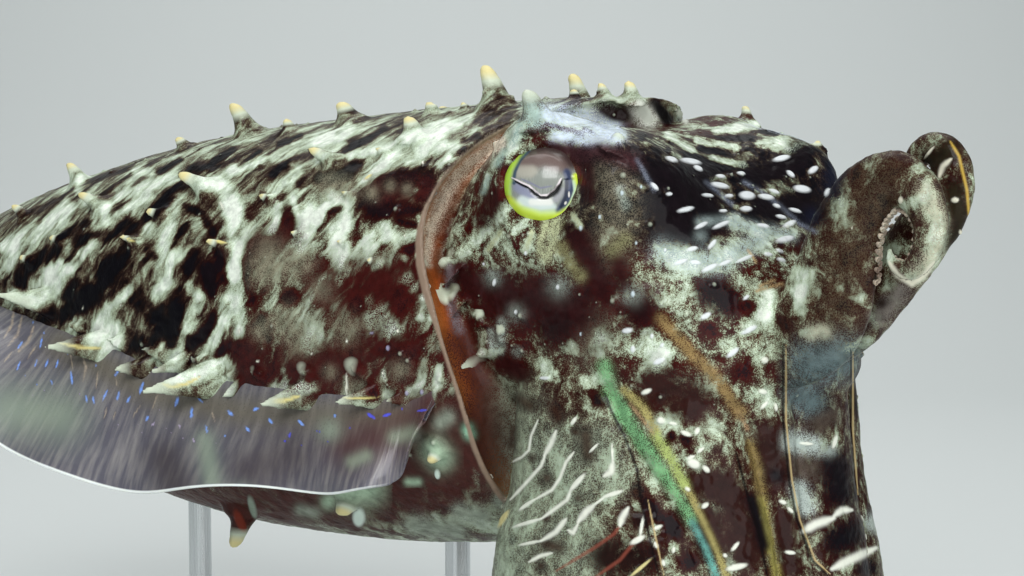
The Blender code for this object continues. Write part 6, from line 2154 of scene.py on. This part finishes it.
@dataclass(frozen=True)
class SkinFinish:
    """Cast silicone skin, painted by hand: a satin, opaque ground stippled in several coats."""

    name: str = "silicone_skin_hand_stippled"
    tones: tuple = (             # place on the tone scale, colour
        (0.00, "#080606"), (0.20, "#160B09"), (0.34, "#32211A"), (0.46, "#625B49"), (0.58, "#939D85"),
        (0.72, "#B7C6AE"), (0.88, "#CFDCCB"), (1.00, "#E2EADD"),
    )
    band: tuple = (              # the same for the collar, from its edge inward
        (0.00, "#D6C6B0"), (0.12, "#CDB496"), (0.24, "#BC7238"), (0.66, "#A35524"), (1.00, "#5A2416"),
    )
    maroon_dark: str = "#400E0B"
    crown_dark: str = "#0B0A10"
    horn_colour: str = "#CBD5C0"
    tip_colour: str = "#E2D494"
    rim_colour: str = "#877464"
    dot_colour: str = "#2A140F"
    stipple_mm: float = 0.44     # the photograph's chromatophores are finer, about 0.3 mm
    stipple_depth: tuple = (0.24, 0.44)  # how strongly the dots break up the pale and the maroon parts
    dots_middle: float = 0.42    # distance from a dot at which the tone stays as it is
    middle: float = 0.45         # the tone of unpainted ground
    drift_mm: float = 13.33      # the streaks wander over patches of this size
    drift: float = 0.011         # how far they wander, in metres
    mottle_mm: float = 3.846
    pores_mm: float = 1.923
    lean: float = radians(38)    # the mantle's streaks lean back going down
    streaks_mm: tuple = (        # size of the pattern along x, y and z, and its contrast
        (Channel.MANTLE, (10.0, 26.0, 26.0), 1.9), (Channel.MANTLE, (2.6, 9.0, 9.0), 1.0),
        (Channel.HEAD, (9.0, 8.0, 6.5), 1.5), (Channel.HEAD, (2.2, 2.2, 2.6), 0.8),
        (Channel.ARM, (6.5, 6.5, 8.5), 1.1), (Channel.ARM, (2.0, 2.0, 2.6), 0.7),
    )
    shifts: tuple = ((Channel.HEAD, -0.06), (Channel.CROWN, -0.13), (Channel.ARM, -0.07))

    def tone(self, tree: bpy.types.NodeTree, place: bpy.types.NodeSocket, dots: bpy.types.NodeSocket,
             carried: dict[Channel, bpy.types.NodeSocket]) -> bpy.types.NodeSocket:
        """The lightness of the ground, from leaning streaks, the painted shifts and the stippling.

        Args:
            tree: The material's node tree.
            place: Position on the model.
            dots: Distance from the nearest stippled dot.
            carried: The skin's own values.

        Returns:
            The tone from 0 to 1.
        """
        drift = add_node(tree, "TexNoise", {"Vector": place, "Scale": cells(self.drift_mm), "Detail": 3.0},
                         "Color")
        centred = add_node(tree, "VectorMath", (drift, (0.5, 0.5, 0.5)), operation="SUBTRACT")
        shift = add_node(tree, "VectorMath", {0: centred, "Scale": self.drift}, operation="SCALE")
        warped = add_node(tree, "VectorMath", (place, shift), operation="ADD")
        tone = add_node(tree, "Math", (carried[Channel.TONE], self.middle), operation="ADD")
        for channel, amount in self.shifts:
            share = add_node(tree, "Math", (carried[channel], amount), operation="MULTIPLY")
            tone = add_node(tree, "Math", (tone, share), operation="ADD")
        for channel, size, contrast in self.streaks_mm:
            lean = (0.0, self.lean if channel is Channel.MANTLE else 0.0, 0.0)
            stretched = add_node(tree, "Mapping", {"Vector": warped, "Rotation": lean,
                                                   "Scale": [mm * MM for mm in size]}, vector_type="TEXTURE")
            cloud = add_node(tree, "TexNoise", {"Vector": stretched, "Scale": 1.0, "Detail": 4.0,
                                                "Roughness": 0.56}, "Fac")
            centred = add_node(tree, "Math", (cloud, 0.5), operation="SUBTRACT")
            strong = add_node(tree, "Math", (centred, contrast), operation="MULTIPLY")
            share = add_node(tree, "Math", (strong, carried[channel]), operation="MULTIPLY")
            tone = add_node(tree, "Math", (tone, share), operation="ADD")
        strength = add_node(tree, "MapRange", (carried[Channel.MAROON], 0.0, 1.0, *self.stipple_depth))
        centred = add_node(tree, "Math", (dots, self.dots_middle), operation="SUBTRACT")
        grain = add_node(tree, "Math", (centred, strength), operation="MULTIPLY")
        return add_node(tree, "Math", (tone, grain), operation="ADD", use_clamp=True)

    def ground(self, tree: bpy.types.NodeTree, tone: bpy.types.NodeSocket,
               carried: dict[Channel, bpy.types.NodeSocket]) -> bpy.types.NodeSocket:
        """The colour under the paint, from its tone, and the collar's band.

        Args:
            tree: The material's node tree.
            tone: The tone from 0 to 1.
            carried: The skin's own values.

        Returns:
            The colour.
        """
        dark = add_node(tree, "MapRange", (tone, 0.12, 0.50, 1.0, 0.0))
        colour = add_node(tree, "ValToRGB", (tone,), "Color", self.tones)
        for channel, hue in ((Channel.MAROON, self.maroon_dark), (Channel.CROWN, self.crown_dark)):
            amount = add_node(tree, "Math", (dark, carried[channel]), operation="MULTIPLY")
            colour = add_node(tree, "Mix", {0: amount, 6: colour, 7: linear(hue)}, 2, data_type="RGBA")
        black = add_node(tree, "MapRange", (tone, 0.0, 0.13, 0.8, 0.0))
        colour = add_node(tree, "Mix", {0: black, 6: colour, 7: linear(self.crown_dark)}, 2, data_type="RGBA")
        band = add_node(tree, "ValToRGB", (carried[Channel.NECK_DEPTH],), "Color", self.band)
        return add_node(tree, "Mix", {0: carried[Channel.NECK_BAND], 6: colour, 7: band}, 2, data_type="RGBA")

    def material(self) -> bpy.types.Material:
        """Build the skin's material.

        Returns:
            The material.
        """
        material, shader = new_material(self.name, 0.42, 1.41)
        tree = material.node_tree
        carried = {channel: add_node(tree, "Attribute", output="Fac", attribute_name=channel.value)
                   for channel in Channel}
        place = add_node(tree, "TexCoord", output="Object")
        dots = add_node(tree, "TexVoronoi",
                        {"Vector": place, "Scale": cells(self.stipple_mm), "Randomness": 1.0}, "Distance")
        colour = self.ground(tree, self.tone(tree, place, dots, carried), carried)

        broad = add_node(tree, "TexNoise", {"Vector": place, "Scale": cells(self.mottle_mm), "Detail": 4.0,
                                            "Roughness": 0.6}, "Fac")
        fine = add_node(tree, "MapRange", (dots, 0.12, 0.68, 0.05, 0.55))
        part = add_node(tree, "Math", (broad, 0.4), operation="MULTIPLY")
        grain = add_node(tree, "Math", (fine, part), operation="ADD")
        colour = lay_coat(tree, colour, Layer.WASH, grain)
        shade = add_node(tree, "MapRange", (broad, 0.35, 0.65, 0.76, 1.18))
        colour = add_node(tree, "VectorMath", {0: colour, "Scale": shade}, operation="SCALE")
        spot = add_node(tree, "MapRange", (dots, 0.28, 0.46, 1.0, 0.0))
        depth = add_node(tree, "MapRange", (carried[Channel.NECK_DEPTH], 0.12, 0.30, 0.0, 0.5))
        deep = add_node(tree, "Math", (depth, carried[Channel.NECK_BAND]), operation="MULTIPLY")
        spotted = add_node(tree, "Math", (spot, deep), operation="MULTIPLY")
        colour = add_node(tree, "Mix", {0: spotted, 6: colour, 7: linear(self.dot_colour)}, 2,
                          data_type="RGBA")

        colour = lay_coat(tree, colour, Layer.MARK)
        colour = add_node(tree, "Mix", {0: carried[Channel.RIM], 6: colour, 7: linear(self.rim_colour)}, 2,
                          data_type="RGBA")
        for low, high, most, hue in ((0.22, 0.60, 0.95, self.horn_colour),
                                     (0.62, 0.95, 0.85, self.tip_colour)):
            share = add_node(tree, "MapRange", (carried[Channel.TIP], low, high, 0.0, most))
            colour = add_node(tree, "Mix", {0: share, 6: colour, 7: linear(hue)}, 2, data_type="RGBA")
        tree.links.new(colour, shader.inputs["Base Color"])

        pores = add_node(tree, "TexNoise", {"Vector": place, "Scale": cells(self.pores_mm), "Detail": 4.0,
                                            "Roughness": 0.5}, "Fac")
        bump = add_node(tree, "Bump", {"Height": pores, "Strength": 0.4, "Distance": 0.0007})
        tree.links.new(bump, shader.inputs["Normal"])
        shader.inputs["Specular IOR Level"].default_value = 0.03
        shader.inputs["Coat Weight"].default_value = 0.15
        shader.inputs["Coat Roughness"].default_value = 0.12
        return material


@dataclass(frozen=True)
class SuckerFinish:
    """Cast silicone in its own pale colour, left satin: the suckers' creamy, slightly waxy look."""

    name: str = "silicone_cast_cream"
    pale: str = "#C4B9A6"
    shaded: str = "#7A675A"
    patch_mm: float = 4.545
    pores_mm: float = 0.6667

    def material(self) -> bpy.types.Material:
        """Build the suckers' material.

        Returns:
            The material.
        """
        material, shader = new_material(self.name, 0.38, 1.41, 0.15, (0.0010, 0.0006, 0.0004))
        tree = material.node_tree
        place = add_node(tree, "TexCoord", output="Object")
        cloud = add_node(tree, "TexNoise", {"Vector": place, "Scale": cells(self.patch_mm), "Detail": 3.0,
                                            "Roughness": 0.5}, "Fac")
        patch = add_node(tree, "MapRange", (cloud, 0.35, 0.65, 0.0, 1.0))
        colour = add_node(tree, "Mix", {0: patch, 6: linear(self.pale), 7: linear(self.shaded)}, 2,
                          data_type="RGBA")
        tree.links.new(colour, shader.inputs["Base Color"])
        pores = add_node(tree, "TexNoise", {"Vector": place, "Scale": cells(self.pores_mm), "Detail": 2.0,
                                            "Roughness": 0.5}, "Fac")
        bump = add_node(tree, "Bump", {"Height": pores, "Strength": 0.3, "Distance": 0.0002})
        tree.links.new(bump, shader.inputs["Normal"])
        return material


@dataclass(frozen=True)
class FinFinish:
    """Thin cast silicone membrane: milky grey-violet, with painted iridescent dots and a white margin."""

    name: str = "silicone_membrane_iridescent"
    ground: str = "#5B5A64"
    ray: str = "#94918F"
    margin: str = "#EDF4F2"
    speck: str = "#3E3430"
    ray_count: float = 150.0     # along the fin
    ray_breaks: float = 2.2      # how often a ray fades on its way across
    grain_mm: float = 1.4286
    speck_mm: float = 1.1111

    def material(self) -> bpy.types.Material:
        """Build the membrane's material.

        Returns:
            The material.
        """
        material, shader = new_material(self.name, 0.34, 1.41, 0.25, (0.002, 0.002, 0.003))
        tree = material.node_tree
        along, across = (add_node(tree, "Attribute", output="Fac", attribute_name=name)
                         for name in ("along", "across"))
        place = add_node(tree, "TexCoord", output="Object")
        columns = add_node(tree, "Math", (along, self.ray_count), operation="MULTIPLY")
        lengths = add_node(tree, "Math", (across, self.ray_breaks), operation="MULTIPLY")
        rays = add_node(tree, "CombineXYZ", (columns, lengths))
        cloud = add_node(tree, "TexNoise", {"Vector": rays, "Scale": 1.0, "Detail": 3.0, "Roughness": 0.5},
                         "Fac")
        ray = add_node(tree, "MapRange", (cloud, 0.42, 0.68, 0.0, 0.7))
        colour = add_node(tree, "Mix", {0: ray, 6: linear(self.ground), 7: linear(self.ray)}, 2,
                          data_type="RGBA")
        fine = add_node(tree, "TexNoise", {"Vector": place, "Scale": cells(self.grain_mm), "Detail": 3.0,
                                           "Roughness": 0.5}, "Fac")
        colour = lay_coat(tree, colour, Layer.WASH)
        speck = add_node(tree, "TexVoronoi",
                         {"Vector": place, "Scale": cells(self.speck_mm), "Randomness": 1.0}, "Distance")
        small = add_node(tree, "MapRange", (speck, 0.18, 0.32, 0.35, 0.0))
        inner = add_node(tree, "MapRange", (across, 0.1, 0.7, 1.0, 0.2))
        dots = add_node(tree, "Math", (small, inner), operation="MULTIPLY")
        colour = add_node(tree, "Mix", {0: dots, 6: colour, 7: linear(self.speck)}, 2, data_type="RGBA")
        colour = lay_coat(tree, colour, Layer.MARK, fine)
        outer = add_node(tree, "MapRange", (across, 0.975, 0.985, 0.0, 1.0))
        ahead = add_node(tree, "MapRange", (along, 0.13, 0.22, 0.0, 1.0))
        edge = add_node(tree, "Math", (outer, ahead), operation="MULTIPLY")
        colour = add_node(tree, "Mix", {0: edge, 6: colour, 7: linear(self.margin)}, 2, data_type="RGBA")
        tree.links.new(colour, shader.inputs["Base Color"])
        bump = add_node(tree, "Bump", {"Height": ray, "Strength": 0.25, "Distance": 0.0004})
        tree.links.new(bump, shader.inputs["Normal"])
        shader.inputs["Coat Weight"].default_value = 0.25
        shader.inputs["Coat Roughness"].default_value = 0.18
        return material


@dataclass(frozen=True)
class EyeFinish:
    """Blown and painted glass eye under a clear cornea: smooth, its colours just under the gloss."""

    name: str = "glass_eye_painted"
    ground: str = "#8E938C"
    fibre_mm: tuple = (0.4, 0.4, 3.0)    # the iris's fibres, coarser than the real ones so that they show

    def material(self) -> bpy.types.Material:
        """Build the eye's material from the colours painted on its points.

        Returns:
            The material.
        """
        material, shader = new_material(self.name, 0.20, 1.45, 0.06, (0.001, 0.001, 0.001))
        tree = material.node_tree
        place = add_node(tree, "TexCoord", output="Object")
        stretched = add_node(tree, "Mapping", {"Vector": place, "Scale": [mm * MM for mm in self.fibre_mm]},
                             vector_type="TEXTURE")
        cloud = add_node(tree, "TexNoise", {"Vector": stretched, "Scale": 1.0, "Detail": 3.0,
                                            "Roughness": 0.5}, "Fac")
        fibres = add_node(tree, "MapRange", (cloud, 0.35, 0.65, 0.80, 1.14))
        colour = add_node(tree, "VectorMath", {0: linear(self.ground)[:3], "Scale": fibres},
                          operation="SCALE")
        for layer in (Layer.WASH, Layer.MARK):
            colour = lay_coat(tree, colour, layer)
        tree.links.new(colour, shader.inputs["Base Color"])
        shader.inputs["Coat Weight"].default_value = 0.25
        shader.inputs["Coat Roughness"].default_value = 0.08
        return material


@dataclass
class Eye:
    """An eyeball with its iris flap, its W-shaped pupil and its yellow-green ring."""

    head: Head
    side: int
    rings: int = 210
    sides: int = 360
    flap: float = 0.00045        # how far the iris flap stands out over the pupil
    ring: float = 0.00060
    groove: float = 0.00070
    flap_px: tuple = ((541, 182), 31)

    def build(self) -> bpy.types.Object:
        """Make the eyeball, model and paint its details and dress it.

        Returns:
            The eyeball.
        """
        across, up, axis = self.head.eye_axes(self.side)
        polar, turn = np.meshgrid(pi * np.linspace(0.0005, 0.9995, self.rings) ** 1.5,
                                  2 * pi * np.arange(self.sides) / self.sides, indexing="ij")
        a, b = np.sin(polar) * np.cos(turn), np.sin(polar) * np.sin(turn)
        wide, tall = self.head.eye_stretch
        ways = across * wide * a[..., None] + up * tall * b[..., None] + axis * np.cos(polar)[..., None]
        centre = self.head.eye_place(self.side)
        form = Form.loft(from_head(ways * self.head.eye_radius + centre))
        middle = from_head(centre)
        normals = form.points - middle
        normals /= np.linalg.norm(normals, axis=1, keepdims=True)
        brush = Brush(form.points, normals, np.ones(len(form.points)), flips=(-self.side,), wash_edge=4)
        pixels = brush.views[0][0]
        pupil = brush.cover(PUPIL)
        ring = brush.cover([mark for mark in EYE_MARKS if mark.colour in RING_COLOURS])
        line = np.array([place for mark in PUPIL for place in mark.line])
        line = line[np.argsort(line[:, 0])]
        above = smooth_step(np.interp(pixels[:, 0], line[:, 0], line[:, 1]) - pixels[:, 1], 1.0, 2.6)
        flap_centre, flap_reach = self.flap_px
        away = np.linalg.norm(pixels - flap_centre, axis=1)
        above *= smooth_step(away, flap_reach, flap_reach - 5) * (brush.views[0][1] > 0)
        form.points += normals * (above * self.flap + ring * self.ring - pupil * self.groove)[:, None]
        brush.paint(EYE_MARKS + PUPIL)
        name = "eyeball_right" if self.side < 0 else "eyeball_left"
        mesh = form.mesh(name)
        brush.store(mesh)
        return add_object(name, mesh, EyeFinish().material())


@dataclass(frozen=True)
class PlateFinish:
    """Cast acrylic sheet, flame-polished: a milky white base with clean, faintly glossy faces."""

    name: str = "acrylic_cast_opal"
    colour: str = "#E4E7E6"
    milk_mm: float = 71.43
    wipe_mm: float = 11.11

    def material(self) -> bpy.types.Material:
        """Build the plate's material.

        Returns:
            The material.
        """
        material, shader = new_material(self.name, 0.16, 1.49)
        tree = material.node_tree
        place = add_node(tree, "TexCoord", output="Object")
        milk = add_node(tree, "TexNoise", {"Vector": place, "Scale": cells(self.milk_mm), "Detail": 4.0,
                                           "Roughness": 0.5}, "Fac")
        haze = add_node(tree, "MapRange", (milk, 0.3, 0.7, 0.94, 1.04))
        tint = add_node(tree, "VectorMath", {0: linear(self.colour)[:3], "Scale": haze}, operation="SCALE")
        tree.links.new(tint, shader.inputs["Base Color"])
        wipes = add_node(tree, "TexNoise", {"Vector": place, "Scale": cells(self.wipe_mm), "Detail": 5.0,
                                            "Roughness": 0.5}, "Fac")
        rub = add_node(tree, "MapRange", (wipes, 0.3, 0.7, 0.12, 0.24))
        tree.links.new(rub, shader.inputs["Roughness"])
        return material


@dataclass(frozen=True)
class RodFinish:
    """Stainless steel rod, drawn and brushed along its length: long fine highlights."""

    name: str = "stainless_steel_brushed"
    colour: str = "#C9CCCE"
    brush_mm: tuple = (0.5, 0.5, 60.0)   # a real brush leaves lines of about 0.05 mm, too fine to show

    def material(self) -> bpy.types.Material:
        """Build the rods' material.

        Returns:
            The material.
        """
        material, shader = new_material(self.name, 0.28, 1.5)
        tree = material.node_tree
        place = add_node(tree, "TexCoord", output="Object")
        lines = add_node(tree, "Mapping", {"Vector": place, "Scale": [mm * MM for mm in self.brush_mm]},
                         vector_type="TEXTURE")
        scratch = add_node(tree, "TexNoise", {"Vector": lines, "Scale": 1.0, "Detail": 3.0, "Roughness": 0.5},
                           "Fac")
        shader.inputs["Base Color"].default_value = linear(self.colour)
        shader.inputs["Metallic"].default_value = 1.0
        matt = add_node(tree, "MapRange", (scratch, 0.3, 0.7, 0.20, 0.38))
        tree.links.new(matt, shader.inputs["Roughness"])
        bump = add_node(tree, "Bump", {"Height": scratch, "Strength": 0.15, "Distance": 0.0001})
        tree.links.new(bump, shader.inputs["Normal"])
        return material


@dataclass
class Stand:
    """The display stand, whose CAD solids stay as they are and get their finishes."""

    plate: str = "stand_base"
    rods: tuple = ("stand_rod_front", "stand_rod_rear")

    def dress(self) -> None:
        """Put the finishes on the plate and the rods."""
        for names, finish in (((self.plate,), PlateFinish()), (self.rods, RodFinish())):
            material = finish.material()
            for name in names:
                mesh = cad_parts[name].data
                if mesh.materials:
                    mesh.materials[0] = material
                else:
                    mesh.materials.append(material)


@dataclass
class Studio:
    """The floor, the backdrop and the soft lights."""

    floor_colour: str = "#D9DEDD"
    air_colour: str = "#E6EEF0"
    air_strength: float = 0.20
    wall_bend: float = 1.2       # where the floor bends up behind the model, and the bend's radius
    lights: tuple = (            # on the model: name, place, side, power
        ("key", (0.55, -1.0, 1.0), 0.7, 12.5), ("fill", (1.3, -0.35, 0.5), 1.0, 8.0),
        ("top", (-0.3, 0.3, 1.5), 1.4, 9.0),
    )

    def build(self) -> None:
        """Lay the floor, curve the backdrop up behind it and hang the lights."""
        forward = np.array(VIEW.axes[1])
        flat = np.array((forward[0], forward[1], 0)) / np.linalg.norm(forward[:2])
        right = VIEW.axes[0]
        bend = self.wall_bend
        curve = [(bend + bend * sin(a), bend - bend * cos(a)) for a in np.linspace(0.05, pi / 2, 24)]
        profile = [(-3.0, 0.0), (bend, 0.0)] + curve + [(2 * bend, 4.0)]
        points = [tuple(flat * out + right * x + (0, 0, z)) for out, z in profile for x in (-5.0, 5.0)]
        faces = [(2 * k, 2 * k + 1, 2 * k + 3, 2 * k + 2) for k in range(len(profile) - 1)]
        mesh = bpy.data.meshes.new("backdrop")
        mesh.from_pydata(points, [], faces)
        mesh.shade_smooth()
        material = bpy.data.materials.new("backdrop_paper_matt")
        material.use_nodes = True
        shader = material.node_tree.nodes["Principled BSDF"]
        shader.inputs["Base Color"].default_value = linear(self.floor_colour)
        shader.inputs["Roughness"].default_value = 0.9
        add_object("backdrop", mesh, material)
        on_model, on_wall = (0.02, 0.0, AXIS_HEIGHT), tuple(flat * 2 * bend + (0, 0, 0.7))
        above = tuple(flat * 1.3 + (0, 0, 2.2))
        wall = ("wall", above, 1.6, 20.0)
        for name, place, size, power in (*self.lights, wall):
            target = on_wall if name == "wall" else on_model
            data = bpy.data.lights.new(name, "AREA")
            data.size, data.energy = size, power
            light = bpy.data.objects.new(name, data)
            light.location = place
            aim = Vector(target) - Vector(place)
            light.rotation_euler = aim.to_track_quat("-Z", "Y").to_euler()
            bpy.context.scene.collection.objects.link(light)
        world = bpy.data.worlds.new("studio_air")
        bpy.context.scene.world = world
        world.use_nodes = True
        background = world.node_tree.nodes["Background"]
        background.inputs["Color"].default_value = linear(self.air_colour)
        background.inputs["Strength"].default_value = self.air_strength
        # The paints are matched to the photograph's own colours, so nothing may bend them afterwards.
        bpy.context.scene.view_settings.view_transform = "Standard"


def main() -> None:
    """Build the scene, piece by piece."""
    logging.basicConfig(level=logging.INFO, format="%(asctime)s %(name)s: %(message)s")
    VIEW.build()
    Studio().build()
    mantle, head = Mantle(), Head()
    fins = [Fin(side, mantle) for side in (-1, 1)]
    skin = Skin(mantle, head, HangingArms(), RaisedArms(), Funnel(), fins, Papillae()).build()
    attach(skin, "root")
    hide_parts(*[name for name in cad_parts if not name.startswith(("stand", "eye", "fin"))])
    log.info("skin: %d points", len(skin.data.vertices))
    for fin in fins:
        membrane = fin.dress()
        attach(membrane, "root")
        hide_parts("fin_right" if fin.side < 0 else "fin_left")
        log.info("%s: %d points", membrane.name, len(membrane.data.vertices))
    for side, node in ((-1, "eye_right"), (1, "eye_left")):
        eye = Eye(head, side).build()
        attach(eye, "root")
        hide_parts(node)
        log.info("%s done", eye.name)
    suckers = Suckers(HangingArms(), RaisedArms()).dress()
    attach(suckers, "root")
    log.info("suckers: %d faces", len(suckers.data.polygons))
    Stand().dress()
    log.info("stand dressed")


if __name__ == "__main__":
    main()
